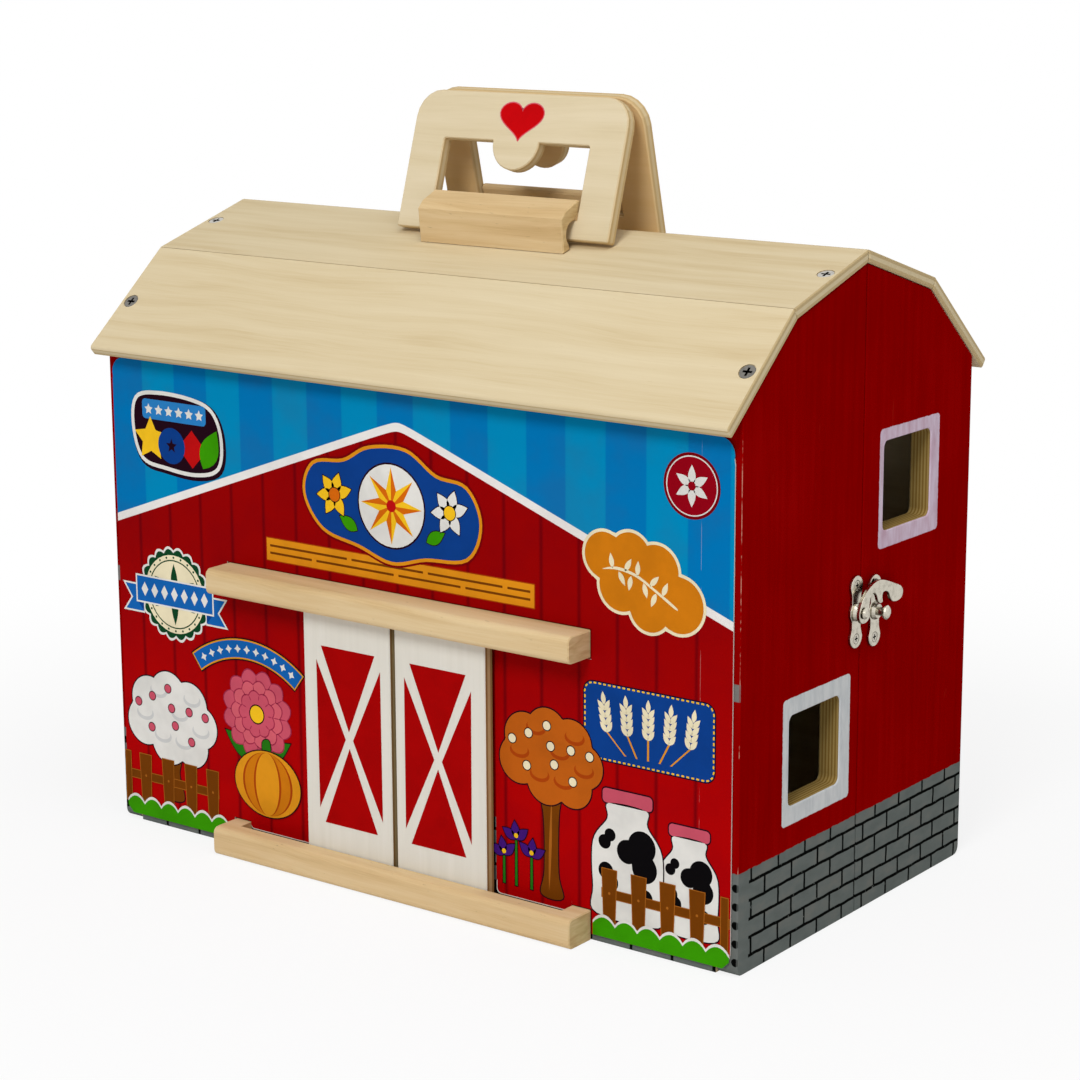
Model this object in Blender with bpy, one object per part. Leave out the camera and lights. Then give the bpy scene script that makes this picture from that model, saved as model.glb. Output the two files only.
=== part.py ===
"""Folding wooden toy barn with sliding doors, a swing latch and two fold-down carrying handles.

The barn is two half barns that meet at a split along the ridge. They hinge on the left gable and
are held shut by a hook on the right gable. X runs along the ridge, the doors face -Y, Z is up.
Everything is laid out from the split plane, and the whole barn is then moved so that the origin is
at the bottom centre of its bounding box. All sizes are in metres.
"""

import math

import bmesh
import bpy
from mathutils import Matrix, Vector

# The barn's body
BARN_WIDTH = 0.340
BARN_DEPTH = 0.182
EAVE_HEIGHT = 0.2229
BREAK_RISE = 0.0405
RIDGE_RISE = 0.0173
BREAK_REACH = 0.0558
EAVE_OVERHANG = 0.0116
ROOF_THICKNESS = 0.005
ROOF_END_OVERHANG = 0.0005
GABLE_THICKNESS = 0.010
GABLE_CORNER = 0.004
WALL_THICKNESS = 0.006
FLOOR_THICKNESS = 0.006
LOFT_THICKNESS = 0.006
LOFT_HEIGHT = 0.119

# Clearances and small edges
HALF_GAP = 0.0003
FIT_GAP = 0.0003
EDGE_EASE = 0.0005
ROOF_EASE = 0.0008
METAL_EASE = 0.00015
CUT_OVERRUN = 0.002

# Windows in the right gable, placed by their centres
WINDOW_WIDTH = 0.0392
WINDOW_HEIGHT = 0.0380
WINDOW_CORNER = 0.003
LOWER_WINDOW_REACH = 0.0347
LOWER_WINDOW_HEIGHT = 0.080
UPPER_WINDOW_REACH = 0.0364
UPPER_WINDOW_HEIGHT = 0.1807

# Sliding doors and their rails
RAIL_LENGTH = 0.198
RAIL_DEPTH = 0.0155
RAIL_ROUND = 0.0028
UPPER_RAIL_BOTTOM = 0.1203
UPPER_RAIL_HEIGHT = 0.0115
LOWER_RAIL_HEIGHT = 0.0130
RAIL_GROOVE = 0.0048
RAIL_STOP = 0.0095
DOOR_WIDTH = 0.0485
DOOR_THICKNESS = 0.0056
DOOR_GAP = 0.0026
DOOR_PLAY = 0.0006
DOORWAY_OVERLAP = 0.0105
DOORWAY_LINTEL = 0.004

# Printed card on the front wall
CARD_THICKNESS = 0.0006
CARD_SIDE_MARGIN = 0.0028
CARD_BOTTOM = 0.003
CARD_TOP_MARGIN = 0.0115
CARD_CORNER = 0.007
CARD_CUT_CORNER = 0.002
CARD_CLEARANCE = 0.0006

# Carrying handles and the blocks that hold them
HANDLE_WIDTH = 0.1146
HANDLE_HEIGHT = 0.0619
HANDLE_THICKNESS = 0.0055
HANDLE_OPENING_WIDTH = 0.0788
HANDLE_BAR = 0.0085
HANDLE_TOP_BAR = 0.0214
HANDLE_CORNER = 0.0125
HANDLE_FOOT_CORNER = 0.001
HANDLE_BUMP = 0.0125
HANDLE_PLAY = 0.0004
HANDLE_PIVOT_REACH = 0.0182
HANDLE_MEETING = 0.0018
BLOCK_DEPTH = 0.0181
BLOCK_HEIGHT = 0.0178
BLOCK_FOOT = 0.0042
BLOCK_AXIS = 0.0120
BLOCK_FRONT_SHARES = ((0.155, 0.815), (0.37, 0.935))
BLOCK_NOSE_SHARES = ((0.90, 0.995), (0.97, 0.965), (1.0, 0.895), (0.985, 0.835), (0.86, 0.70))

# Wood screws through the roof panels into the gables
ROOF_SCREW_HEAD = 0.0034
ROOF_SCREW_SHANK = 0.0016
ROOF_SCREW_LENGTH = 0.018
ROOF_SCREW_SINK = 0.0002
LOWER_SCREW_SHARE = 0.535
UPPER_SCREW_SHARE = 0.435

# Small countersunk screws in the latch and the hinges
SMALL_SCREW_HEAD = 0.0020
SMALL_SCREW_SHANK = 0.0010
SMALL_SCREW_LENGTH = 0.0075
SMALL_SCREW_SINK = 0.00005

# Swing latch on the right gable
LATCH_HEIGHT = 0.132
LATCH_PLATE_HEIGHT = 0.0306
LATCH_PLATE_WIDTH = 0.0094
LATCH_PLATE_THICKNESS = 0.001
LATCH_PLATE_MARGIN = 0.0003
LATCH_WAIST_SHARES = (0.72, 0.34)
LATCH_SCREW_SHARE = 0.37
LATCH_BOSS_FOOT = 0.0038
LATCH_BOSS_TOP = 0.0030
LATCH_BOSS_RISE = 0.0017
HOOK_REACH = 0.0320
HOOK_RISE = 0.0104
HOOK_THICKNESS = 0.0015
HOOK_CLEARANCE = 0.00035
HOOK_LIFT = math.radians(5.6)
HOOK_NECK_SHARES = (0.469, -0.231)
HOOK_SHARES = (
    (-0.119, 0.010), (-0.109, -0.202), (-0.062, -0.375), (0.013, -0.423), (0.081, -0.385),
    (0.128, -0.279), (0.147, -0.135), (0.134, 0.077), (0.144, 0.288), (0.166, 0.462),
    (0.206, 0.587), (0.253, 0.615), (0.300, 0.538), (0.338, 0.385), (0.359, 0.192),
    (0.388, 0.067), (0.438, 0.019), (0.475, 0.067), (0.466, 0.231), (0.481, 0.394),
    (0.537, 0.423), (0.613, 0.327), (0.656, 0.154), (0.678, -0.029), (0.728, -0.183),
    (0.806, -0.260), (0.887, -0.279), (0.956, -0.221), (0.994, -0.077), (0.991, 0.115),
    (0.938, 0.298), (0.838, 0.452), (0.728, 0.625), (0.597, 0.817), (0.456, 0.971),
    (0.341, 1.000), (0.237, 0.952), (0.125, 0.846), (0.031, 0.683), (-0.041, 0.481),
    (-0.094, 0.231),
)
RIVET_SHANK = 0.0010
RIVET_HEAD = 0.0024
RIVET_HEAD_THICKNESS = 0.0009
RIVET_CLEARANCE = 0.0001
STUD_NECK = 0.0018
STUD_HEAD = 0.0030
STUD_HEAD_THICKNESS = 0.0016
STUD_HEAD_CLEARANCE = 0.0012

# Hinges on the left gable
LOWER_HINGE_HEIGHT = 0.050
UPPER_HINGE_HEIGHT = 0.195
HINGE_LENGTH = 0.030
HINGE_LEAF_WIDTH = 0.014
HINGE_LEAF_THICKNESS = 0.001
HINGE_LEAF_CORNER = 0.0015
HINGE_SCREW_SPACING = 0.018
KNUCKLE_RADIUS = 0.0025
KNUCKLE_GAP = 0.0004
PIN_RADIUS = 0.001
PIN_CLEARANCE = 0.0001
PIN_END = 0.0006

# Roundness of arcs and turned pieces
ARC_STEPS = 5
BUMP_STEPS = 18
HOOK_STEPS = 2
TURN_STEPS = 20
BORE_STEPS = 18
KNUCKLE_STEPS = 24

# Sides of the split plane
FRONT = -1
BACK = 1


# Materials

def srgb(red, green, blue):
    """Turns colour values of 0 to 255 into Blender's linear colour."""
    linear = []
    for value in (red, green, blue):
        share = value / 255
        linear.append(share / 12.92 if share < 0.04045 else ((share + 0.055) / 1.055) ** 2.4)
    return (*linear, 1.0)


def material(name, colour, roughness, metallic=0.0):
    """Makes one Principled material."""
    made = bpy.data.materials.new(name)
    made.use_nodes = True
    shader = made.node_tree.nodes["Principled BSDF"]
    shader.inputs["Base Color"].default_value = colour
    shader.inputs["Roughness"].default_value = roughness
    shader.inputs["Metallic"].default_value = metallic
    made.diffuse_color = colour
    return made


def make_materials():
    """Makes the barn's finishes."""
    return {
        "plywood": material("plywood", srgb(222, 200, 160), 0.6),
        "handle_ply": material("handle_ply", srgb(222, 208, 178), 0.6),
        "pine": material("pine", srgb(216, 180, 128), 0.55),
        "red_paint": material("red_paint", srgb(150, 8, 10), 0.5),
        "white_paint": material("white_paint", srgb(215, 212, 200), 0.45),
        "printed_card": material("printed_card", srgb(165, 12, 12), 0.35),
        "nickel": material("nickel", srgb(190, 186, 176), 0.25, 1.0),
        "zinc": material("zinc", srgb(170, 168, 162), 0.35, 1.0),
    }


# Outlines: lists of (a, b) points in a plane

def cross_length(first, second):
    """Returns the cross product of two plane vectors."""
    return first.x * second.y - first.y * second.x


def signed_area(points):
    """Returns an outline's area, positive when it runs anticlockwise."""
    total = 0
    for index, point in enumerate(points):
        total += cross_length(points[index - 1], point)
    return total / 2


def turned_way(points, anticlockwise):
    """Returns the outline running the way asked for."""
    if (signed_area(points) > 0) == anticlockwise:
        return list(points)
    return list(reversed(points))


def inward(points, distance):
    """Moves an outline's edges to their left, into the material, by a distance."""
    moved = []
    count = len(points)
    for index, point in enumerate(points):
        before = (point - points[index - 1]).normalized()
        after = (points[(index + 1) % count] - point).normalized()
        normal_before = Vector((-before.y, before.x))
        normal_after = Vector((-after.y, after.x))
        both = normal_before + normal_after
        moved.append(point + both * (distance / (1 + normal_before.dot(normal_after))))
    return moved


def arc(centre, radius, start, end, steps):
    """Returns points on an arc, with angles in radians."""
    points = []
    for step in range(steps + 1):
        angle = start + (end - start) * step / steps
        points.append(Vector(centre) + radius * Vector((math.cos(angle), math.sin(angle))))
    return points


def rounded(corners):
    """Rounds an outline's corners. Each corner is (point, radius); a radius of 0 stays sharp."""
    points = []
    count = len(corners)
    for index, (point, radius) in enumerate(corners):
        point = Vector(point)
        if not radius:
            points.append(point)
            continue
        back = (Vector(corners[index - 1][0]) - point).normalized()
        ahead = (Vector(corners[(index + 1) % count][0]) - point).normalized()
        half_angle = back.angle(ahead) / 2
        centre = point + (back + ahead).normalized() * (radius / math.sin(half_angle))
        first = point + back * (radius / math.tan(half_angle)) - centre
        last = point + ahead * (radius / math.tan(half_angle)) - centre
        sweep = math.atan2(cross_length(first, last), first.dot(last))
        start = math.atan2(first.y, first.x)
        points.extend(arc(centre, radius, start, start + sweep, ARC_STEPS))
    return points


def rectangle(low, high, radius=0):
    """Returns a rectangle between two corners, with equal rounded corners."""
    corners = (low, (high[0], low[1]), high, (low[0], high[1]))
    return rounded([(corner, radius) for corner in corners])


def smooth_loop(points, steps):
    """Returns a closed smooth curve through the points."""
    curve = []
    count = len(points)
    for index in range(count):
        p0, p1, p2, p3 = (points[(index + shift) % count] for shift in (-1, 0, 1, 2))
        for step in range(steps):
            t = step / steps
            bend = (2 * p0 - 5 * p1 + 4 * p2 - p3) * t * t + (3 * p1 - p0 - 3 * p2 + p3) * t * t * t
            curve.append((2 * p1 + (p2 - p0) * t + bend) / 2)
    return curve


# Solids

def add_object(name, mesh, finish):
    """Adds a mesh to the scene as one named object."""
    made = bpy.data.objects.new(name, mesh)
    bpy.context.scene.collection.objects.link(made)
    if finish:
        mesh.materials.append(finish)
    return made


def closed_mesh(name, build):
    """Makes a mesh from a bmesh that the given function fills, with its faces pointing out."""
    bm = bmesh.new()
    build(bm)
    bmesh.ops.recalc_face_normals(bm, faces=bm.faces)
    mesh = bpy.data.meshes.new(name)
    bm.to_mesh(mesh)
    bm.free()
    mesh.shade_smooth()
    mesh.set_sharp_from_angle(angle=math.radians(35))
    return mesh


def in_space(point, height, axis):
    """Places a point of a plane outline at a height along X, Y or Z."""
    if axis == "X":
        return (height, point.x, point.y)
    if axis == "Y":
        return (point.x, height, point.y)
    return (point.x, point.y, height)


def plate(name, outline, holes, start, end, axis, ease, finish):
    """Makes a flat or long solid from an outline and its holes, with eased edges at both faces."""
    loops = [turned_way([Vector(p) for p in outline], True)]
    loops += [turned_way([Vector(p) for p in hole], False) for hole in holes]
    if ease:
        layers = ((start, ease), (start + ease, 0), (end - ease, 0), (end, ease))
    else:
        layers = ((start, 0), (end, 0))

    def build(bm):
        cap_edges = ([], [])
        for loop in loops:
            rings = []
            for height, setback in layers:
                shape = inward(loop, setback) if setback else loop
                rings.append([bm.verts.new(in_space(p, height, axis)) for p in shape])
            count = len(loop)
            for lower, upper in zip(rings, rings[1:]):
                for index in range(count):
                    after = (index + 1) % count
                    bm.faces.new((lower[index], lower[after], upper[after], upper[index]))
            for cap, ring in zip(cap_edges, (rings[0], rings[-1])):
                for index in range(count):
                    cap.append(bm.edges.get((ring[index], ring[(index + 1) % count])))
        for cap in cap_edges:
            bmesh.ops.triangle_fill(bm, edges=cap, use_beauty=True)

    return add_object(name, closed_mesh(name, build), finish)


def turned_mesh(name, profile, steps):
    """Makes a turned solid about Z from (radius, height) points.

    The profile either starts and ends on the axis, or stays off it and is closed to a ring.
    """
    def build(bm):
        rings = []
        for radius, height in profile:
            if radius:
                ring = []
                for step in range(steps):
                    angle = 2 * math.pi * step / steps
                    ring.append(bm.verts.new((radius * math.cos(angle), radius * math.sin(angle), height)))
            else:
                ring = [bm.verts.new((0, 0, height))]
            rings.append(ring)
        if profile[0][0]:
            rings.append(rings[0])
        for lower, upper in zip(rings, rings[1:]):
            for index in range(steps):
                after = (index + 1) % steps
                if len(lower) == 1:
                    bm.faces.new((lower[0], upper[after], upper[index]))
                elif len(upper) == 1:
                    bm.faces.new((lower[index], lower[after], upper[0]))
                else:
                    bm.faces.new((lower[index], lower[after], upper[after], upper[index]))

    return closed_mesh(name, build)


def facing(direction, place):
    """Returns the matrix that stands a turned piece's +Z along a direction, at a place."""
    return Matrix.Translation(place) @ Vector(direction).to_track_quat("Z", "Y").to_matrix().to_4x4()


def turned(name, profile, place, direction, finish, steps=TURN_STEPS):
    """Adds a turned solid at a place, with its axis along a direction."""
    made = add_object(name, turned_mesh(name, profile, steps), finish)
    made.matrix_world = facing(direction, place)
    return made


def combine(target, tool, operation):
    """Cuts a tool from a solid, or joins it on, and hides the tool."""
    modifier = target.modifiers.new(tool.name, "BOOLEAN")
    modifier.operation = operation
    modifier.object = tool
    modifier.solver = "EXACT"
    tool.hide_render = True
    tool.display_type = "WIRE"


def cut(target, tool):
    """Cuts a tool from a solid."""
    combine(target, tool, "DIFFERENCE")


def join(target, tool):
    """Joins a tool to a solid."""
    combine(target, tool, "UNION")


# The roof's section, in (reach, height) from the split plane

def line_crossing(point, direction, other_point, other_direction):
    """Returns where two lines in a plane cross."""
    along = cross_length(other_point - point, other_direction) / cross_length(direction, other_direction)
    return point + direction * along


RIDGE = Vector((0, EAVE_HEIGHT + BREAK_RISE + RIDGE_RISE))
BREAK = Vector((BREAK_REACH, EAVE_HEIGHT + BREAK_RISE))
EAVE = Vector((BARN_DEPTH / 2 + EAVE_OVERHANG, EAVE_HEIGHT))
UPPER_DOWN = (BREAK - RIDGE).normalized()
LOWER_DOWN = (EAVE - BREAK).normalized()
UPPER_OUT = Vector((-UPPER_DOWN.y, UPPER_DOWN.x))
LOWER_OUT = Vector((-LOWER_DOWN.y, LOWER_DOWN.x))
PLUMB = Vector((0, 1))


def roof_at(reach, depth):
    """Returns the point at a reach on the roof surface moved inward by a depth."""
    inner_break = break_at(depth)
    if reach < inner_break.x:
        return line_crossing(RIDGE - UPPER_OUT * depth, UPPER_DOWN, Vector((reach, 0)), PLUMB)
    return line_crossing(EAVE - LOWER_OUT * depth, LOWER_DOWN, Vector((reach, 0)), PLUMB)


def break_at(depth):
    """Returns the roof's break on the surface moved inward by a depth."""
    return line_crossing(RIDGE - UPPER_OUT * depth, UPPER_DOWN, EAVE - LOWER_OUT * depth, LOWER_DOWN)


def on_side(points, side):
    """Turns (reach, height) points into (y, z) points on one side of the split plane."""
    return [Vector((side * point.x, point.y)) for point in points]


GABLE_X = BARN_WIDTH / 2
INNER_X = GABLE_X - GABLE_THICKNESS
WALL_REACH = BARN_DEPTH / 2
WALL_INNER_REACH = WALL_REACH - WALL_THICKNESS
UNDER_ROOF = ROOF_THICKNESS + FIT_GAP
WALL_TOP = roof_at(WALL_REACH, UNDER_ROOF).y
SCREW_X = GABLE_X - GABLE_THICKNESS / 2

# Doors and rails, worked out from the wall outwards
CARD_FRONT = WALL_REACH + FIT_GAP + CARD_THICKNESS
DOOR_BACK = CARD_FRONT + DOOR_PLAY
DOOR_FRONT = DOOR_BACK + DOOR_THICKNESS
GROOVE_FRONT = DOOR_FRONT + DOOR_PLAY
RAIL_BACK = WALL_REACH + FIT_GAP
RAIL_FRONT = RAIL_BACK + RAIL_DEPTH
DOOR_INNER = DOOR_GAP / 2
DOOR_OUTER = DOOR_INNER + DOOR_WIDTH
DOOR_BOTTOM = LOWER_RAIL_HEIGHT - RAIL_GROOVE + DOOR_PLAY
DOOR_TOP = UPPER_RAIL_BOTTOM + RAIL_GROOVE - DOOR_PLAY
DOORWAY_X = DOOR_OUTER - DOORWAY_OVERLAP
DOORWAY_TOP = UPPER_RAIL_BOTTOM - DOORWAY_LINTEL

# The handle's hinge line, beside its block on the upper roof
HANDLE_AXIS_HEIGHT = math.hypot(HANDLE_BAR, HANDLE_THICKNESS) / 2 + HANDLE_PLAY
HANDLE_AXIS = roof_at(HANDLE_PIVOT_REACH, -HANDLE_AXIS_HEIGHT)
BLOCK_LENGTH = HANDLE_OPENING_WIDTH - 2 * HANDLE_PLAY

# The latch's layers, counted outwards from the gable
PLATE_BACK = GABLE_X + FIT_GAP
PLATE_FRONT = PLATE_BACK + LATCH_PLATE_THICKNESS
BOSS_FRONT = PLATE_FRONT + LATCH_BOSS_RISE
HOOK_BACK = BOSS_FRONT + HOOK_CLEARANCE
HOOK_FRONT = HOOK_BACK + HOOK_THICKNESS
STUD_HEAD_BACK = HOOK_FRONT + STUD_HEAD_CLEARANCE
STUD_HEAD_FRONT = STUD_HEAD_BACK + STUD_HEAD_THICKNESS
HOOK_PLATE_CENTRE = -(HALF_GAP + LATCH_PLATE_MARGIN + LATCH_PLATE_WIDTH / 2)
HOOK_PIVOT_REACH = -HOOK_PLATE_CENTRE
NECK_REACH = HOOK_NECK_SHARES[0] * HOOK_REACH - HOOK_PIVOT_REACH
NECK_HEIGHT = LATCH_HEIGHT + HOOK_NECK_SHARES[1] * HOOK_RISE
LATCH_SCREW_OFFSET = LATCH_SCREW_SHARE * LATCH_PLATE_HEIGHT

# The hinge's layers, counted outwards from the gable
LEAF_BACK = GABLE_X + FIT_GAP
LEAF_FRONT = LEAF_BACK + HINGE_LEAF_THICKNESS
HINGE_AXIS_X = -(LEAF_BACK + KNUCKLE_RADIUS)
LEAF_SCREW_REACH = (HINGE_LEAF_WIDTH + KNUCKLE_RADIUS) / 2


# Screws

def screw_profile(head, shank, length, sink):
    """Returns a countersunk screw's (radius, height) points, with the surface at height 0."""
    tip = shank
    return (
        (0, -sink),
        (head, -sink),
        (head, -sink - (head - shank) / 6),
        (shank, -sink - (head - shank)),
        (shank, -length + tip),
        (shank / 4, -length),
        (0, -length),
    )


def screw_hole_profile(head, shank, depth, sink):
    """Returns the cutter for a countersunk screw, a fit gap larger all round."""
    return (
        (0, CUT_OVERRUN),
        (head + FIT_GAP, CUT_OVERRUN),
        (head + FIT_GAP, -sink - (head - shank) / 6),
        (shank + FIT_GAP, -sink - (head - shank)),
        (shank + FIT_GAP, -depth),
        (0, -depth),
    )


def screw_mesh(name, head, shank, length, sink, finish):
    """Makes a countersunk screw with a cross recess, for copies to share."""
    body = add_object(name, turned_mesh(name, screw_profile(head, shank, length, sink), TURN_STEPS), finish)
    wide = head * 0.62
    narrow = head * 0.16
    cross = []
    for turn in range(4):
        spin = Matrix.Rotation(turn * math.pi / 2, 2)
        for corner in ((wide, -narrow), (wide, narrow), (narrow, narrow)):
            cross.append(spin @ Vector(corner))
    recess = plate(name + "_recess", cross, (), -sink - head * 0.35, CUT_OVERRUN, "Z", 0, None)
    cut(body, recess)
    bpy.context.view_layer.update()
    depsgraph = bpy.context.evaluated_depsgraph_get()
    mesh = bpy.data.meshes.new_from_object(body.evaluated_get(depsgraph))
    bpy.data.objects.remove(body)
    bpy.data.objects.remove(recess)
    return mesh


class Screw:
    """One size of countersunk screw: its shared mesh and the holes it needs."""

    def __init__(self, name, head, shank, length, sink, finish):
        self.head = head
        self.shank = shank
        self.length = length
        self.sink = sink
        self.mesh = screw_mesh(name, head, shank, length, sink, finish)

    def drive(self, name, place, direction, through):
        """Adds a screw and cuts its hole from each solid that it passes through."""
        made = add_object(name, self.mesh, None)
        made.matrix_world = facing(direction, place)
        depth = self.length + CUT_OVERRUN / 2
        profile = screw_hole_profile(self.head, self.shank, depth, self.sink)
        hole = turned(name + "_hole", profile, place, direction, None)
        for solid in through:
            cut(solid, hole)
        return made


# The halves' panels

def half_name(side):
    """Returns the half's name."""
    return "front" if side == FRONT else "back"


def gable(side, end, window, finish):
    """Makes one half of a gable. end is -1 at the left and 1 at the right."""
    outline = rounded((
        (Vector((HALF_GAP, 0)), 0),
        (Vector((WALL_REACH, 0)), GABLE_CORNER),
        (roof_at(WALL_REACH, UNDER_ROOF), 0),
        (break_at(UNDER_ROOF), 0),
        (roof_at(HALF_GAP, UNDER_ROOF), 0),
    ))
    holes = []
    if window:
        reach, height = window
        half = Vector((WINDOW_WIDTH / 2, WINDOW_HEIGHT / 2))
        centre = Vector((reach, height))
        holes.append(on_side(rectangle(centre - half, centre + half, WINDOW_CORNER), side))
    name = f"{half_name(side)}_{'left' if end < 0 else 'right'}_gable"
    start, finish_x = sorted((end * GABLE_X, end * INNER_X))
    return plate(name, on_side(outline, side), holes, start, finish_x, "X", EDGE_EASE, finish)


def long_wall(side, doorway, finish):
    """Makes the front or back wall between the gables, with the doorway where it has one."""
    edge = INNER_X - FIT_GAP
    holes = []
    if doorway:
        holes.append(rectangle((-DOORWAY_X, LOWER_RAIL_HEIGHT), (DOORWAY_X, DOORWAY_TOP), WINDOW_CORNER))
    start, end = sorted((side * WALL_REACH, side * WALL_INNER_REACH))
    outline = rectangle((-edge, 0), (edge, WALL_TOP))
    return plate(f"{half_name(side)}_wall", outline, holes, start, end, "Y", EDGE_EASE, finish)


def deck(name, side, height, thickness, finish):
    """Makes a floor or the loft: a board between the gables and behind the long wall."""
    edge = INNER_X - FIT_GAP
    near, far = sorted((side * HALF_GAP, side * (WALL_INNER_REACH - FIT_GAP)))
    outline = rectangle((-edge, near), (edge, far))
    return plate(name, outline, (), height, height + thickness, "Z", EDGE_EASE, finish)


def roof_panels(side, finish):
    """Makes the upper and lower roof panel of one half, mitred where they meet."""
    end = GABLE_X + ROOF_END_OVERHANG
    under_break = break_at(ROOF_THICKNESS)
    upper = (roof_at(HALF_GAP, 0), BREAK, under_break, roof_at(HALF_GAP, ROOF_THICKNESS))
    shift = LOWER_DOWN * FIT_GAP
    under_eave = EAVE - LOWER_OUT * ROOF_THICKNESS
    lower = rounded((
        (BREAK + shift, 0),
        (EAVE, ROOF_THICKNESS / 3),
        (under_eave, ROOF_THICKNESS / 8),
        (under_break + shift, 0),
    ))
    panels = []
    for level, outline in (("upper", upper), ("lower", lower)):
        name = f"{half_name(side)}_{level}_roof"
        panels.append(plate(name, on_side(outline, side), (), -end, end, "X", EDGE_EASE, finish))
    return panels


def roof_screws(side, gables, upper, lower, screw):
    """Screws both roof panels of a half down into its gables."""
    rows = (
        ("upper", RIDGE.lerp(BREAK, UPPER_SCREW_SHARE), UPPER_OUT, upper),
        ("lower", BREAK.lerp(EAVE, LOWER_SCREW_SHARE), LOWER_OUT, lower),
    )
    made = []
    for level, spot, outwards, panel in rows:
        for end, gable_panel in zip((-1, 1), gables):
            name = f"{half_name(side)}_{level}_roof_screw_{'left' if end < 0 else 'right'}"
            place = (end * SCREW_X, side * spot.x, spot.y)
            direction = (0, side * outwards.x, outwards.y)
            made.append(screw.drive(name, place, direction, (panel, gable_panel)))
    return made


# Doors, rails and card

def rail(name, bottom, height, groove_up, finish):
    """Makes a door rail with its groove along the wall side, closed at both ends as stops."""
    half = RAIL_LENGTH / 2
    outline = rounded((
        (Vector((-RAIL_BACK, bottom)), 0),
        (Vector((-RAIL_BACK, bottom + height)), 0),
        (Vector((-RAIL_FRONT, bottom + height)), RAIL_ROUND),
        (Vector((-RAIL_FRONT, bottom)), RAIL_ROUND),
    ))
    made = plate(name, outline, (), -half, half, "X", EDGE_EASE, finish)
    if groove_up:
        low, high = bottom + height - RAIL_GROOVE, bottom + height + CUT_OVERRUN
    else:
        low, high = bottom - CUT_OVERRUN, bottom + RAIL_GROOVE
    section = rectangle((-GROOVE_FRONT, low), (-RAIL_BACK + CUT_OVERRUN, high))
    stop = half - RAIL_STOP
    cut(made, plate(name + "_groove", section, (), -stop, stop, "X", 0, None))
    return made


def door(name, end, finish):
    """Makes one sliding door, with its origin at the middle of its foot."""
    inner, outer = sorted((end * DOOR_INNER, end * DOOR_OUTER))
    outline = rectangle((inner, DOOR_BOTTOM), (outer, DOOR_TOP))
    return plate(name, outline, (), -DOOR_FRONT, -DOOR_BACK, "Y", EDGE_EASE, finish)


def front_card(finish):
    """Makes the printed card, cut out round the rails and the closed doors."""
    side = GABLE_X - CARD_SIDE_MARGIN
    top = WALL_TOP - CARD_TOP_MARGIN
    rail_x = RAIL_LENGTH / 2 + CARD_CLEARANCE
    door_x = DOOR_OUTER + CARD_CLEARANCE
    sill = LOWER_RAIL_HEIGHT + CARD_CLEARANCE
    lintel = UPPER_RAIL_BOTTOM - CARD_CLEARANCE
    over_rail = UPPER_RAIL_BOTTOM + UPPER_RAIL_HEIGHT + CARD_CLEARANCE
    right = (
        ((rail_x, CARD_BOTTOM), 0),
        ((side, CARD_BOTTOM), CARD_CORNER),
        ((side, top), CARD_CORNER),
    )
    cut_out = (
        ((rail_x, over_rail), 0),
        ((rail_x, lintel), 0),
        ((door_x, lintel), 0),
        ((door_x, sill), CARD_CUT_CORNER),
        ((rail_x, sill), 0),
    )
    left = [((-point[0], point[1]), radius) for point, radius in reversed(right)]
    cut_left = [((-point[0], point[1]), radius) for point, radius in reversed(cut_out)]
    outline = rounded(list(right) + left + cut_left + list(cut_out))
    back = WALL_REACH + FIT_GAP
    return plate("front_card", outline, (), -CARD_FRONT, -back, "Y", 0, finish)


# Handles

def handle_lean(side):
    """Returns how far a resting handle leans from upright. The two tops meet just behind the split."""
    arm = HANDLE_HEIGHT - HANDLE_BAR / 2
    half = HANDLE_THICKNESS / 2
    wanted = HANDLE_AXIS.x - side * HANDLE_MEETING - HALF_GAP
    return math.asin(wanted / math.hypot(arm, half)) - math.atan2(half, arm)


def handle(side, finish):
    """Makes one carrying handle. Its origin is on its hinge line, in its foot bar."""
    foot = -HANDLE_BAR / 2
    top = foot + HANDLE_HEIGHT
    half = HANDLE_WIDTH / 2
    outline = rounded((
        ((-half, foot), HANDLE_FOOT_CORNER),
        ((half, foot), HANDLE_FOOT_CORNER),
        ((half, top), HANDLE_CORNER),
        ((-half, top), HANDLE_CORNER),
    ))
    side_x = HANDLE_OPENING_WIDTH / 2
    lower = foot + HANDLE_BAR
    upper = top - HANDLE_TOP_BAR
    bump = arc((0, upper), HANDLE_BUMP, 0, -math.pi, BUMP_STEPS)
    corners = [((-side_x, lower), 0), ((side_x, lower), 0), ((side_x, upper), HANDLE_FOOT_CORNER)]
    corners += [(point, 0) for point in bump]
    corners.append(((-side_x, upper), HANDLE_FOOT_CORNER))
    opening = rounded(corners)
    name = f"{half_name(side)}_handle"
    made = plate(name, outline, (opening,), -HANDLE_THICKNESS / 2, HANDLE_THICKNESS / 2, "Y", EDGE_EASE, finish)
    made.location = (0, side * HANDLE_AXIS.x, HANDLE_AXIS.y)
    made.rotation_euler = (side * handle_lean(side), 0, 0)
    return made


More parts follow.
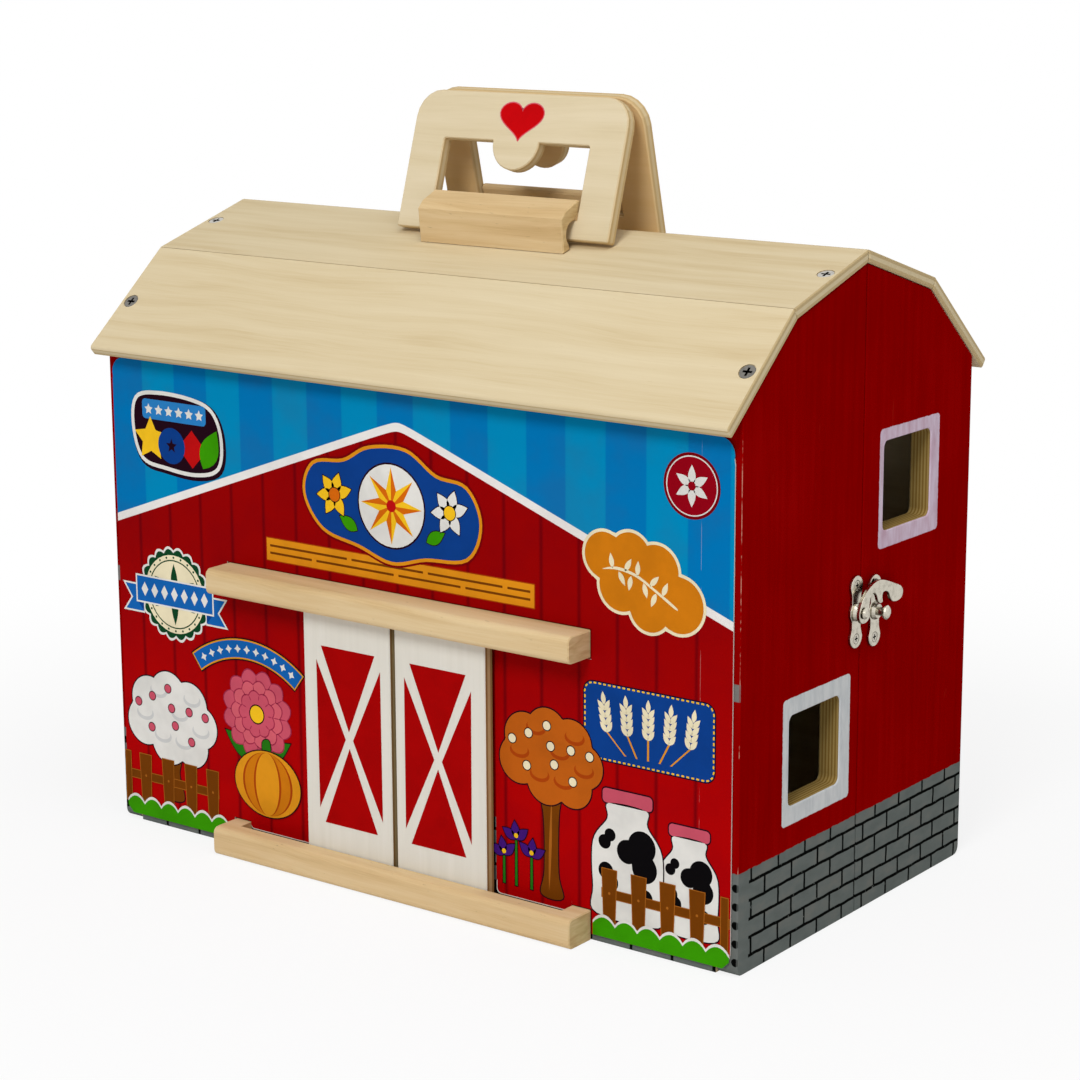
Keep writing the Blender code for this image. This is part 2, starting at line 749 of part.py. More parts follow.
def handle_block(side, finish):
    """Makes the block whose cove holds the handle's foot bar down on the upper roof."""
    front = roof_at(HANDLE_PIVOT_REACH, -HANDLE_AXIS_HEIGHT) - UPPER_OUT * HANDLE_AXIS_HEIGHT
    front = front + UPPER_DOWN * BLOCK_AXIS + UPPER_OUT * FIT_GAP
    cove = HANDLE_AXIS_HEIGHT - FIT_GAP
    shape = [Vector((0, 0))]
    shape += [Vector((a * BLOCK_DEPTH, b * BLOCK_HEIGHT)) for a, b in BLOCK_FRONT_SHARES]
    shape += [Vector((a * BLOCK_DEPTH, b * BLOCK_HEIGHT)) for a, b in BLOCK_NOSE_SHARES]
    shape.append(Vector((BLOCK_AXIS, cove + HANDLE_AXIS_HEIGHT)))
    centre = Vector((BLOCK_FOOT + HANDLE_AXIS_HEIGHT, cove))
    shape += arc(centre, HANDLE_AXIS_HEIGHT, math.pi / 2, math.pi * 1.15, BUMP_STEPS // 2)
    shape.append(Vector((BLOCK_FOOT * 1.2, 0)))
    outline = [front - UPPER_DOWN * point.x + UPPER_OUT * point.y for point in shape]
    half = BLOCK_LENGTH / 2
    name = f"{half_name(side)}_handle_block"
    return plate(name, on_side(outline, side), (), -half, half, "X", EDGE_EASE, finish)


# Latch

def latch_plate(name, centre_y, centre_z, finish):
    """Makes a latch plate with round ends and two waists."""
    end = LATCH_PLATE_WIDTH / 2
    tip = LATCH_PLATE_HEIGHT / 2 - end
    waist = LATCH_WAIST_SHARES[0] * end
    waist_height = LATCH_WAIST_SHARES[1] * tip
    right = arc((0, tip), end, 0, math.pi / 2, ARC_STEPS)
    quarter = [Vector((end, 0)), Vector((end, waist_height / 3)), Vector((waist, waist_height))]
    quarter += [Vector((waist, tip - waist_height)), *right]
    half = quarter[1:] + [Vector((-p.x, p.y)) for p in reversed(quarter[1:-1])]
    outline = [Vector((end, 0)), *half, Vector((-end, 0))]
    outline += [Vector((-p.x, -p.y)) for p in half]
    place = Vector((centre_y, centre_z))
    outline = [place + point for point in outline]
    return plate(name, outline, (), PLATE_BACK, PLATE_FRONT, "X", METAL_EASE, finish)


def boss_profile():
    """Returns the (radius, height) points of a latch plate's raised middle, from inside the plate."""
    return (
        (0, LATCH_PLATE_THICKNESS / 2),
        (LATCH_BOSS_FOOT, LATCH_PLATE_THICKNESS / 2),
        (LATCH_BOSS_FOOT, LATCH_PLATE_THICKNESS + LATCH_BOSS_RISE / 4),
        (LATCH_BOSS_TOP, LATCH_PLATE_THICKNESS + LATCH_BOSS_RISE),
    )


def hook_plate(finish):
    """Makes the plate that carries the hook, bored for its rivet."""
    made = latch_plate("latch_hook_plate", HOOK_PLATE_CENTRE, LATCH_HEIGHT, finish)
    place = (PLATE_BACK, HOOK_PLATE_CENTRE, LATCH_HEIGHT)
    profile = (*boss_profile(), (0, LATCH_PLATE_THICKNESS + LATCH_BOSS_RISE))
    join(made, turned("latch_boss", profile, place, (1, 0, 0), None))
    radius = RIVET_SHANK + FIT_GAP
    reach = LATCH_PLATE_THICKNESS + 2 * LATCH_BOSS_RISE
    bore = ((0, -LATCH_PLATE_THICKNESS), (radius, -LATCH_PLATE_THICKNESS), (radius, reach), (0, reach))
    cut(made, turned("latch_bore", bore, place, (1, 0, 0), None, BORE_STEPS))
    return made


def round_hole(centre, radius):
    """Returns a round hole's outline."""
    return arc(centre, radius, 0, 2 * math.pi, TURN_STEPS)[:-1]


def latch_hook(finish):
    """Makes the swing hook, with its origin on its rivet, lifted just clear of the stud."""
    points = [Vector((a * HOOK_REACH, b * HOOK_RISE)) for a, b in HOOK_SHARES]
    bore = round_hole((0, 0), RIVET_SHANK + RIVET_CLEARANCE)
    outline = smooth_loop(points, HOOK_STEPS)
    made = plate("latch_hook", outline, (bore,), 0, HOOK_THICKNESS, "X", METAL_EASE, finish)
    made.location = (HOOK_BACK, -HOOK_PIVOT_REACH, LATCH_HEIGHT)
    made.rotation_euler = (HOOK_LIFT, 0, 0)
    return made


def latch_rivet(finish):
    """Makes the rivet that the hook turns on."""
    foot = PLATE_BACK
    head_back = HOOK_FRONT + HOOK_CLEARANCE - foot
    head_front = head_back + RIVET_HEAD_THICKNESS
    profile = (
        (0, 0),
        (RIVET_SHANK, 0),
        (RIVET_SHANK, head_back),
        (RIVET_HEAD, head_back),
        (RIVET_HEAD, head_back + RIVET_HEAD_THICKNESS / 3),
        (RIVET_HEAD * 0.6, head_front),
        (0, head_front),
    )
    place = (foot, -HOOK_PIVOT_REACH, LATCH_HEIGHT)
    return turned("latch_rivet", profile, place, (1, 0, 0), finish)


def catch_plate(finish):
    """Makes the catch plate with its mushroom stud."""
    made = latch_plate("latch_catch_plate", NECK_REACH, NECK_HEIGHT, finish)
    head_back = STUD_HEAD_BACK - PLATE_BACK
    head_front = STUD_HEAD_FRONT - PLATE_BACK
    profile = (
        *boss_profile(),
        (STUD_NECK, LATCH_PLATE_THICKNESS + LATCH_BOSS_RISE),
        (STUD_NECK, head_back),
        (STUD_HEAD * 0.9, head_back),
        (STUD_HEAD, head_back + STUD_HEAD_THICKNESS * 0.25),
        (STUD_HEAD, head_back + STUD_HEAD_THICKNESS * 0.55),
        (STUD_HEAD * 0.8, head_back + STUD_HEAD_THICKNESS * 0.85),
        (STUD_HEAD * 0.45, head_front),
        (0, head_front),
    )
    stud = turned("latch_stud", profile, (PLATE_BACK, NECK_REACH, NECK_HEIGHT), (1, 0, 0), None)
    join(made, stud)
    return made


# Hinges

def hinge_leaf(name, side, height, finish):
    """Makes one hinge leaf. The front leaf has the outer knuckles and the back leaf the middle one."""
    half = HINGE_LENGTH / 2
    clear = KNUCKLE_RADIUS + KNUCKLE_GAP
    root = KNUCKLE_RADIUS / 4
    wide = HINGE_LEAF_WIDTH
    corner = HINGE_LEAF_CORNER
    middle = HINGE_LENGTH / 6
    tip = 2 * METAL_EASE
    if side == FRONT:
        low = middle + KNUCKLE_GAP / 2
        knuckles = ((tip - half, -low), (low, half - tip))
        low = low + tip
        outline = (
            ((wide, -half), corner), ((wide, half), corner), ((root, half), 0), ((root, low), 0),
            ((clear, low), 0), ((clear, -low), 0), ((root, -low), 0), ((root, -half), 0),
        )
    else:
        high = middle - KNUCKLE_GAP / 2
        knuckles = ((-high, high),)
        high = high - tip
        outline = (
            ((wide, -half), corner), ((wide, half), corner), ((clear, half), 0), ((clear, high), 0),
            ((root, high), 0), ((root, -high), 0), ((clear, -high), 0), ((clear, -half), 0),
        )
    level = Vector((0, height))
    shape = on_side([point + level for point in rounded(outline)], side)
    made = plate(name, shape, (), -LEAF_FRONT, -LEAF_BACK, "X", METAL_EASE, finish)
    bore = PIN_RADIUS + PIN_CLEARANCE
    for index, (start, end) in enumerate(knuckles):
        barrel = ((bore, start), (KNUCKLE_RADIUS, start), (KNUCKLE_RADIUS, end), (bore, end))
        place = (HINGE_AXIS_X, 0, height)
        join(made, turned(f"{name}_knuckle_{index}", barrel, place, (0, 0, 1), None, KNUCKLE_STEPS))
    return made


def hinge_pin(name, height, finish):
    """Makes a hinge pin with domed ends."""
    half = HINGE_LENGTH / 2
    head = (PIN_RADIUS + KNUCKLE_RADIUS) / 2
    profile = (
        (0, -half - PIN_END),
        (PIN_RADIUS * 0.7, -half - PIN_END),
        (PIN_RADIUS, -half),
        (PIN_RADIUS, half + KNUCKLE_GAP / 2),
        (head, half + KNUCKLE_GAP / 2),
        (head, half + KNUCKLE_GAP / 2 + PIN_END / 2),
        (PIN_RADIUS * 0.7, half + KNUCKLE_GAP / 2 + PIN_END),
        (0, half + KNUCKLE_GAP / 2 + PIN_END),
    )
    return turned(name, profile, (HINGE_AXIS_X, 0, height), (0, 0, 1), finish, KNUCKLE_STEPS)


# Putting the barn together

def set_origin(piece, place):
    """Moves an unrotated piece's origin without moving its mesh in the world."""
    shift = Vector(place) - piece.location
    piece.data.transform(Matrix.Translation(-shift))
    piece.location = place


def hang(pieces, parent):
    """Parents pieces to an empty and keeps them where they are."""
    bpy.context.view_layer.update()
    back = parent.matrix_world.inverted()
    for piece in pieces:
        world = piece.matrix_world.copy()
        piece.parent = parent
        piece.matrix_basis = back @ world


def plan_middle(pieces):
    """Returns the middle of the pieces' bounding box, seen from above."""
    bpy.context.view_layer.update()
    corners = [piece.matrix_world @ Vector(corner) for piece in pieces for corner in piece.bound_box]
    across = [corner.x for corner in corners]
    along = [corner.y for corner in corners]
    return Vector((min(across) + max(across), min(along) + max(along), 0)) / 2


def empty(name, place):
    """Adds an empty at a place."""
    made = bpy.data.objects.new(name, None)
    made.location = place
    bpy.context.scene.collection.objects.link(made)
    return made


def build_front(finishes, roof_screw, small_screw):
    """Makes the front half with its doors, handle, card, hook and front hinge leaves."""
    ply, red, pine = finishes["plywood"], finishes["red_paint"], finishes["pine"]
    left = gable(FRONT, -1, None, red)
    right = gable(FRONT, 1, (LOWER_WINDOW_REACH, LOWER_WINDOW_HEIGHT), red)
    pieces = [left, right, long_wall(FRONT, True, red)]
    pieces.append(deck("front_floor", FRONT, 0, FLOOR_THICKNESS, ply))
    upper, lower = roof_panels(FRONT, ply)
    pieces += [upper, lower, *roof_screws(FRONT, (left, right), upper, lower, roof_screw)]
    pieces.append(rail("upper_door_rail", UPPER_RAIL_BOTTOM, UPPER_RAIL_HEIGHT, False, pine))
    pieces.append(rail("lower_door_rail", 0, LOWER_RAIL_HEIGHT, True, pine))
    pieces.append(front_card(finishes["printed_card"]))
    pieces.append(handle_block(FRONT, pine))
    pieces.append(handle(FRONT, finishes["handle_ply"]))
    for name, end in (("left_door", -1), ("right_door", 1)):
        leaf = door(name, end, finishes["white_paint"])
        middle = end * (DOOR_INNER + DOOR_OUTER) / 2
        set_origin(leaf, (middle, -(DOOR_FRONT + DOOR_BACK) / 2, DOOR_BOTTOM))
        pieces.append(leaf)
    nickel = finishes["nickel"]
    carrier = hook_plate(nickel)
    pieces += [carrier, latch_rivet(nickel), latch_hook(nickel)]
    for level, sign in (("upper", 1), ("lower", -1)):
        place = (PLATE_FRONT, HOOK_PLATE_CENTRE, LATCH_HEIGHT + sign * LATCH_SCREW_OFFSET)
        pieces.append(small_screw.drive(f"hook_plate_screw_{level}", place, (1, 0, 0), (carrier, right)))
    pieces += hinge_side(FRONT, left, finishes["zinc"], small_screw)
    for name, height in (("lower_hinge_pin", LOWER_HINGE_HEIGHT), ("upper_hinge_pin", UPPER_HINGE_HEIGHT)):
        pieces.append(hinge_pin(name, height, finishes["zinc"]))
    return pieces


def build_back(finishes, roof_screw, small_screw):
    """Makes the back half with its loft, handle, catch and back hinge leaves."""
    ply, red, pine = finishes["plywood"], finishes["red_paint"], finishes["pine"]
    left = gable(BACK, -1, None, red)
    right = gable(BACK, 1, (UPPER_WINDOW_REACH, UPPER_WINDOW_HEIGHT), red)
    pieces = [left, right, long_wall(BACK, False, red)]
    pieces.append(deck("back_floor", BACK, 0, FLOOR_THICKNESS, ply))
    pieces.append(deck("hay_loft", BACK, LOFT_HEIGHT, LOFT_THICKNESS, ply))
    upper, lower = roof_panels(BACK, ply)
    pieces += [upper, lower, *roof_screws(BACK, (left, right), upper, lower, roof_screw)]
    pieces.append(handle_block(BACK, pine))
    pieces.append(handle(BACK, finishes["handle_ply"]))
    catch = catch_plate(finishes["nickel"])
    pieces.append(catch)
    for level, sign in (("upper", 1), ("lower", -1)):
        place = (PLATE_FRONT, NECK_REACH, NECK_HEIGHT + sign * LATCH_SCREW_OFFSET)
        pieces.append(small_screw.drive(f"catch_plate_screw_{level}", place, (1, 0, 0), (catch, right)))
    pieces += hinge_side(BACK, left, finishes["zinc"], small_screw)
    return pieces


def hinge_side(side, gable_panel, finish, small_screw):
    """Makes the two hinge leaves of one half and their screws."""
    pieces = []
    for level, height in (("lower", LOWER_HINGE_HEIGHT), ("upper", UPPER_HINGE_HEIGHT)):
        name = f"{level}_hinge_{half_name(side)}_leaf"
        leaf = hinge_leaf(name, side, height, finish)
        pieces.append(leaf)
        for number, sign in ((1, -1), (2, 1)):
            place = (-LEAF_FRONT, side * LEAF_SCREW_REACH, height + sign * HINGE_SCREW_SPACING / 2)
            pieces.append(small_screw.drive(f"{name}_screw_{number}", place, (-1, 0, 0), (leaf, gable_panel)))
    return pieces


def main():
    """Builds the barn."""
    for old in list(bpy.data.objects):
        bpy.data.objects.remove(old)
    finishes = make_materials()
    roof_screw = Screw(
        "roof_screw", ROOF_SCREW_HEAD, ROOF_SCREW_SHANK, ROOF_SCREW_LENGTH, ROOF_SCREW_SINK, finishes["zinc"]
    )
    small_screw = Screw(
        "small_screw", SMALL_SCREW_HEAD, SMALL_SCREW_SHANK, SMALL_SCREW_LENGTH, SMALL_SCREW_SINK, finishes["nickel"]
    )
    barn = empty("barn", (0, 0, 0))
    hinge_line = empty("back_half_hinge_line", (HINGE_AXIS_X, 0, 0))
    front = build_front(finishes, roof_screw, small_screw)
    back = build_back(finishes, roof_screw, small_screw)
    middle = plan_middle(front + back)
    hang(back, hinge_line)
    tools = [piece for piece in bpy.data.objects if piece.hide_render]
    hang(front + [hinge_line] + tools, barn)
    barn.location = -middle

main()
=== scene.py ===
"""Finishes, printed pictures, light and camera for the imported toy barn.

Artwork and paint are laid out in millimetres from the barn's own middle: X along the ridge from the
middle of the width, Y from the split between the halves, Z up from the floor. Colours are written
as red, green and blue of 0 to 255.
"""

import math

import bmesh
import bpy
from mathutils import Matrix, Vector


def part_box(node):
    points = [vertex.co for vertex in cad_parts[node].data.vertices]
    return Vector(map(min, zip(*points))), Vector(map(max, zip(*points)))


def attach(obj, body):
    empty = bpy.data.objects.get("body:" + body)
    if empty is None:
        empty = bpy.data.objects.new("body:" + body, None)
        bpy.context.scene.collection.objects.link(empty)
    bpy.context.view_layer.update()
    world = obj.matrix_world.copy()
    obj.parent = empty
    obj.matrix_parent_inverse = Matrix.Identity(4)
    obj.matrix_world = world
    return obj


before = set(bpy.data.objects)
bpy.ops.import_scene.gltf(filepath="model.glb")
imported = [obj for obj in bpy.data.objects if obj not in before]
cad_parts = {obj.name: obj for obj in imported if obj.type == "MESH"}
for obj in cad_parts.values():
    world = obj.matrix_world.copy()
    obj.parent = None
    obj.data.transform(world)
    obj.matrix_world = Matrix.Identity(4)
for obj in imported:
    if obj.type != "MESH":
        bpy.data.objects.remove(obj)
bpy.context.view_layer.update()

MM = 0.001

# Where the barn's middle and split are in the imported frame
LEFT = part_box("front_left_gable")[0]
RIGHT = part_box("front_right_gable")[1]
CENTRE_X = (LEFT[0] + RIGHT[0]) / 2
SPLIT_Y = (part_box("front_floor")[1][1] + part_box("back_floor")[0][1]) / 2

# Main sizes that the finishes follow, in millimetres
HALF_WIDTH = (RIGHT[0] - LEFT[0]) / 2 / MM
HALF_DEPTH = 91.0
GABLE_THICKNESS = 10.0
CARD_FACE = -(HALF_DEPTH + 0.9)
DOOR_FACE = -(HALF_DEPTH + 7.1)
DOOR_THICKNESS = 5.6
HANDLE_THICKNESS = 5.5
HANDLE_AXIS = (18.2, 280.78)
FRONT_LEAN = math.radians(17.227)
BACK_LEAN = math.radians(13.467)
ROOF_THICKNESS = 5.0
UPPER_PITCH = math.radians(17.226)
LOWER_PITCH = math.radians(40.874)
RIDGE_HEIGHT = 280.7
EAVE_REACH = 102.6
EAVE_HEIGHT = 222.9
LOWER_RIDGE = EAVE_HEIGHT + EAVE_REACH * math.tan(LOWER_PITCH)
UPPER_ROOF_FOOT = 258.0

# The painted brick band and its column of dots on the front edge
BRICK_TOP = 43.2
BRICK_COURSE = 7.75
BRICK_FIRST_LINE = 6.9
BRICK_LENGTH = 20.15
JOINT = 0.62
FRONT_FIRST_JOINT = -81.3
BACK_FIRST_JOINT = 5.6 + BRICK_LENGTH / 2
GABLE_JOINTS_START = -83.0
WALL_FIRST_JOINT = 8.0
WALL_JOINTS_START = -400.0
DOT_COLUMN = 168.9
DOT_RADIUS = 1.7

# Smaller marks of the paint: the worn corner and the dab on the front edge; and the painted shadow in the
# groove behind the lower rail
WORN_HEIGHTS = (146.0, 222.0)
WORN_RIM = (0.42, 0.2)
DAB_HEIGHTS = (113.6, 120.6)
RAIL_GROOVE_REACH = 99.2
RAIL_GROOVE_TOP = 15.2

# Painted window borders: (reach from the split, height, half width, half height, two tints)
LOWER_WINDOW = (-33.2, 79.9, 26.0, 26.6, (186, 190, 192), (206, 208, 208))
UPPER_WINDOW = (38.1, 179.8, 25.0, 25.3, (190, 160, 176), (208, 190, 206))
BORDER_ROUND = 2.0

# The card's striped sky, its planks and the white roof line between them
SKY_STRIPE = 19.62
SKY_FIRST = -11.2
PLANK_FIRST = -115.0
PLANK_WIDTH = 18.95
GABLE_LINE_APEX = 206.5
GABLE_LINE_SLOPE = 0.3645
GABLE_LINE_WIDTH = 3.7
GABLE_LINE_ROUND = 3.0
CREASE = (152.0, 152.2)

# Woods, paints and metals
BIRCH = ((202, 181, 141), (212, 194, 157), (218, 202, 168))
PALE_PLY = ((206, 188, 152), (214, 198, 164), (220, 205, 174))
PINE = ((198, 166, 118), (213, 184, 138), (222, 197, 154))
PINE_END = ((184, 154, 108), (196, 170, 124), (206, 182, 138))
ROOF_PLIES = ((212, 196, 160), (188, 166, 124))
HANDLE_PLIES = ((214, 194, 154), (200, 172, 124))
# The gable's plies are darker than the other plies: painted shade for the window reveals
SHADED_GABLE_PLIES = ((172, 146, 88), (136, 108, 54))
DOOR_PLIES = ((198, 176, 130), (150, 118, 74))
BRICK_GREY = ((97, 103, 100), (103, 109, 106), (112, 114, 109))
JOINT_BLACK = (8, 9, 8)
BARN_RED = ((130, 0, 0), (138, 0, 0), (147, 2, 2))
SKY_BLUE = ((0, 134, 184), (0, 114, 178))
CARD_RED = ((147, 2, 3), (174, 2, 4))
DOOR_WHITE = ((219, 215, 204), (222, 218, 207), (225, 221, 211))
# Each metal is a lit tone and a shaded tone, for the painted light of metal_material
SCREW_METAL = ((196, 192, 184), (120, 114, 104))
PLATE_SCREW_METAL = ((206, 200, 186), (84, 78, 66))
NICKEL = ((212, 206, 190), (88, 82, 70))
STEEL = ((190, 186, 178), (130, 124, 114))

# Camera fitted to the photograph
CAMERA_PLACE = (719.66, -946.56, 413.52)
CAMERA_YAW = math.radians(36.313)
CAMERA_PITCH = math.radians(12.305)
CAMERA_ROLL = math.radians(-0.108)
CAMERA_LENS = 90.866
CAMERA_SHIFT = (-0.0324, -0.0324)

# Print and paint layers stand this far above each other
PRINT_LIFT = 0.02


def put(name, data):
    """Adds an object to the scene."""
    piece = bpy.data.objects.new(name, data)
    bpy.context.scene.collection.objects.link(piece)
    return piece


def at(x, y, z):
    """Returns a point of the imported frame, in metres, from millimetres about the barn's middle."""
    return Vector((CENTRE_X + x * MM, SPLIT_Y + y * MM, z * MM))


def linear(colour):
    """Turns a written colour into Blender's linear colour. A node's output stays as it is."""
    if not isinstance(colour, tuple):
        return colour
    shares = [value / 255 for value in colour]
    return (*(s / 12.92 if s < 0.04045 else ((s + 0.055) / 1.055) ** 2.4 for s in shares), 1.0)


# Node trees

class Value:
    """A number that a node tree works out at each point. Arithmetic with it adds nodes."""

    def __init__(self, nodes, socket):
        self.nodes = nodes
        self.socket = socket

    def __add__(self, other):
        return self.nodes.math("ADD", self, other)

    def __sub__(self, other):
        return self.nodes.math("SUBTRACT", self, other)

    def __rsub__(self, other):
        return self.nodes.math("SUBTRACT", other, self)

    def __mul__(self, other):
        return self.nodes.math("MULTIPLY", self, other)

    def __truediv__(self, other):
        return self.nodes.math("DIVIDE", self, other)

    def __neg__(self):
        return self * -1.0

    def __abs__(self):
        return self.nodes.math("ABSOLUTE", self)


class Nodes:
    """A node tree, with short names for what the finishes and the studio need."""

    def __init__(self, tree):
        self.tree = tree

    def feed(self, socket, value):
        """Links a socket to another node's output, or sets its value."""
        if isinstance(value, Value):
            value = value.socket
        if isinstance(value, bpy.types.NodeSocket):
            self.tree.links.new(value, socket)
        else:
            socket.default_value = value

    def add(self, kind, sockets, **settings):
        """Adds a node with its settings and feeds its sockets."""
        node = self.tree.nodes.new(f"ShaderNode{kind}")
        for name, setting in settings.items():
            setattr(node, name, setting)
        for key, value in sockets.items():
            self.feed(node.inputs[key], value)
        return node

    def math(self, operation, first, second=0.0):
        """Adds a sum of two numbers."""
        return Value(self, self.add("Math", {0: first, 1: second}, operation=operation).outputs[0])

    def vector(self, operation, first, second):
        """Adds a sum of two vectors, or of a vector and its scale."""
        key = 3 if operation == "SCALE" else 1
        return self.add("VectorMath", {0: first, key: second}, operation=operation).outputs[0]

    def parts(self, vector):
        """Splits a vector into its three numbers."""
        return [Value(self, part) for part in self.add("SeparateXYZ", {0: vector}).outputs]

    def rise(self, value, low, high, bottom=0.0, top=1.0):
        """Returns bottom below low, top above high and a smooth step between."""
        sockets = {0: value, 1: low, 2: high, 3: bottom, 4: top}
        return Value(self, self.add("MapRange", sockets, interpolation_type="SMOOTHSTEP").outputs[0])

    def inside(self, value, low, high, soft=0.2):
        """Returns 1 between low and high, with soft edges."""
        return self.rise(value, low - soft, low + soft) * self.rise(value, high + soft, high - soft)

    def either(self, first, *others):
        """Returns the largest of several masks."""
        for other in others:
            first = self.math("MAXIMUM", first, other)
        return first

    def length(self, first, second):
        """Returns the length of the slope over two steps."""
        return self.math("SQRT", first * first + second * second)

    def mix(self, share, first, second):
        """Mixes two colours."""
        sockets = {0: share, 6: linear(first), 7: linear(second)}
        return self.add("Mix", sockets, data_type="RGBA").outputs[2]

    def blend(self, share, first, second):
        """Mixes two numbers."""
        return Value(self, self.add("Mix", {0: share, 2: first, 3: second}).outputs[0])

    def ramp(self, value, positions, colours):
        """Adds a colour ramp."""
        node = self.add("ValToRGB", {0: value})
        steps = node.color_ramp.elements
        while len(steps) < len(colours):
            steps.new(0.5)
        for step, position, colour in zip(steps, positions, colours):
            step.position = position
            step.color = linear(colour)
        return node.outputs[0]


class Graph(Nodes):
    """One material, with the place and the direction of each of its points."""

    def __init__(self, name, roughness=0.5, metallic=0.0, gloss=0.03):
        self.material = bpy.data.materials.new(name)
        self.material.use_nodes = True
        super().__init__(self.material.node_tree)
        self.shader = self.tree.nodes["Principled BSDF"]
        self.shader.inputs["Roughness"].default_value = roughness
        self.shader.inputs["Metallic"].default_value = metallic
        self.shader.inputs["Specular IOR Level"].default_value = gloss
        coordinates = self.add("TexCoord", {})
        scaled = self.vector("SCALE", coordinates.outputs["Object"], 1 / MM)
        self.place = self.vector("SUBTRACT", scaled, (CENTRE_X / MM, SPLIT_Y / MM, 0))
        self.x, self.y, self.z = self.parts(self.place)
        self.nx, self.ny, self.nz = self.parts(coordinates.outputs["Normal"])

    def noise(self, stretch, detail=3.0, rough=0.5, bend=0.0, where=None):
        """Adds noise whose grains are about 1 / stretch millimetres, in all or in each direction."""
        if isinstance(stretch, float):
            stretch = (stretch, stretch, stretch)
        sockets = {"Vector": self.vector("MULTIPLY", where or self.place, stretch), "Scale": 1.0,
                   "Detail": detail, "Roughness": rough, "Distortion": bend}
        return Value(self, self.add("TexNoise", sockets).outputs["Fac"])

    def bump(self, height, strength, distance):
        """Adds a bump from a height, and returns its normal."""
        sockets = {"Strength": strength, "Distance": distance * MM, "Height": height}
        return self.add("Bump", sockets).outputs[0]

    def finish(self, colour, roughness, normal=None):
        """Feeds the shader and returns the material."""
        self.feed(self.shader.inputs["Base Color"], colour)
        self.feed(self.shader.inputs["Roughness"], roughness)
        if normal:
            self.feed(self.shader.inputs["Normal"], normal)
        return self.material


# Materials

def grain(g, tones, along="x"):
    """Returns (colour, height) of plain sawn or sliced wood with its grain along an axis."""
    def stretch(length, width):
        return tuple(1 / (length if axis == along else width) for axis in "xyz")
    drift = g.noise(stretch(170, 45), 2)
    bent = g.vector("ADD", g.place, g.vector("SCALE", drift, 14.0))
    figure = g.noise(stretch(150, 7), 4, 0.55, where=bent)
    fibre = g.noise(stretch(22, 0.55), 3, 0.6, where=bent)
    patch = g.noise(stretch(90, 38), 2)
    colour = g.ramp(figure * 0.62 + fibre * 0.2 + patch * 0.18, (0.34, 0.47, 0.62), tones)
    fleck = g.rise(g.noise(stretch(5, 0.45), 1, where=bent), 0.73, 0.8)
    return g.mix(fleck * 0.45, colour, tones[0]), fibre + figure * 0.5


def plies(g, depth, thickness, count, tones):
    """Returns the colour of a plywood edge from the depth below its face."""
    light, dark = tones
    odd = g.math("PINGPONG", depth * (count / thickness) + 0.5, 1.0)
    colour = g.mix(g.rise(odd, 0.42, 0.58), light, dark)
    return g.mix(g.noise(0.3) * 0.35, colour, dark)


def roof_depth(g):
    """Returns how deep a point lies below the roof panels' outer faces."""
    depths = []
    for ridge, pitch in ((RIDGE_HEIGHT, UPPER_PITCH), (LOWER_RIDGE, LOWER_PITCH)):
        depths.append((ridge - g.z) * math.cos(pitch) - abs(g.y) * math.sin(pitch))
    return g.math("MINIMUM", *depths)


def roof_material():
    """Bare plywood roof panels, with their plies showing at the edges."""
    g = Graph("roof_plywood")
    colour, height = grain(g, BIRCH)
    edge = plies(g, roof_depth(g), ROOF_THICKNESS, 3, ROOF_PLIES)
    end = g.rise(abs(g.nx), 0.5, 0.7)
    eave = g.rise(abs(g.y), EAVE_REACH - 4.0, EAVE_REACH - 3.6) * g.rise(-g.nz, 0.3, 0.5)
    colour = g.mix(g.either(end, eave), colour, edge)
    return g.finish(colour, g.blend(height, 0.5, 0.66), g.bump(height, 0.25, 0.15))


def handle_material(name, side, lean):
    """Pale plywood handle with its plies showing at the edges, and a painted warm bounce light on its inner
    face.
    """
    g = Graph(name)
    colour, height = grain(g, PALE_PLY)
    level, slope = math.cos(lean), side * math.sin(lean)
    depth = (g.y - side * HANDLE_AXIS[0]) * level + (g.z - HANDLE_AXIS[1]) * slope
    facing = g.ny * level + g.nz * slope
    edge = plies(g, depth + HANDLE_THICKNESS / 2, HANDLE_THICKNESS, 3, HANDLE_PLIES)
    colour = g.mix(g.rise(abs(facing), 0.6, 0.8), edge, colour)
    # Painted light: the inner face is tinted golden for the warm light bounced between the handles
    inner = g.rise(facing * -float(side), 0.6, 0.8)
    colour = g.mix(inner * 0.55, colour, (216, 168, 92))
    return g.finish(colour, g.blend(height, 0.5, 0.65), g.bump(height, 0.2, 0.12))


def pine_material(name):
    """Sanded pine with its grain along X, short dark ticks, and end grain on the ends."""
    g = Graph(name)
    colour, height = grain(g, PINE)
    end = g.rise(abs(g.nx), 0.6, 0.8)
    ticks = g.rise(g.noise((0.22, 0.6, 1.3), 2), 0.7, 0.76) * (1 - end)
    colour = g.mix(ticks * 0.4, colour, (120, 100, 76))
    rings = g.ramp(g.noise((0.0, 0.12, 0.5), 2, 0.5, 0.6), (0.3, 0.5, 0.7), PINE_END)
    colour = g.mix(end, colour, rings)
    return g.finish(colour, g.blend(height, 0.42, 0.6), g.bump(height, 0.3, 0.15))


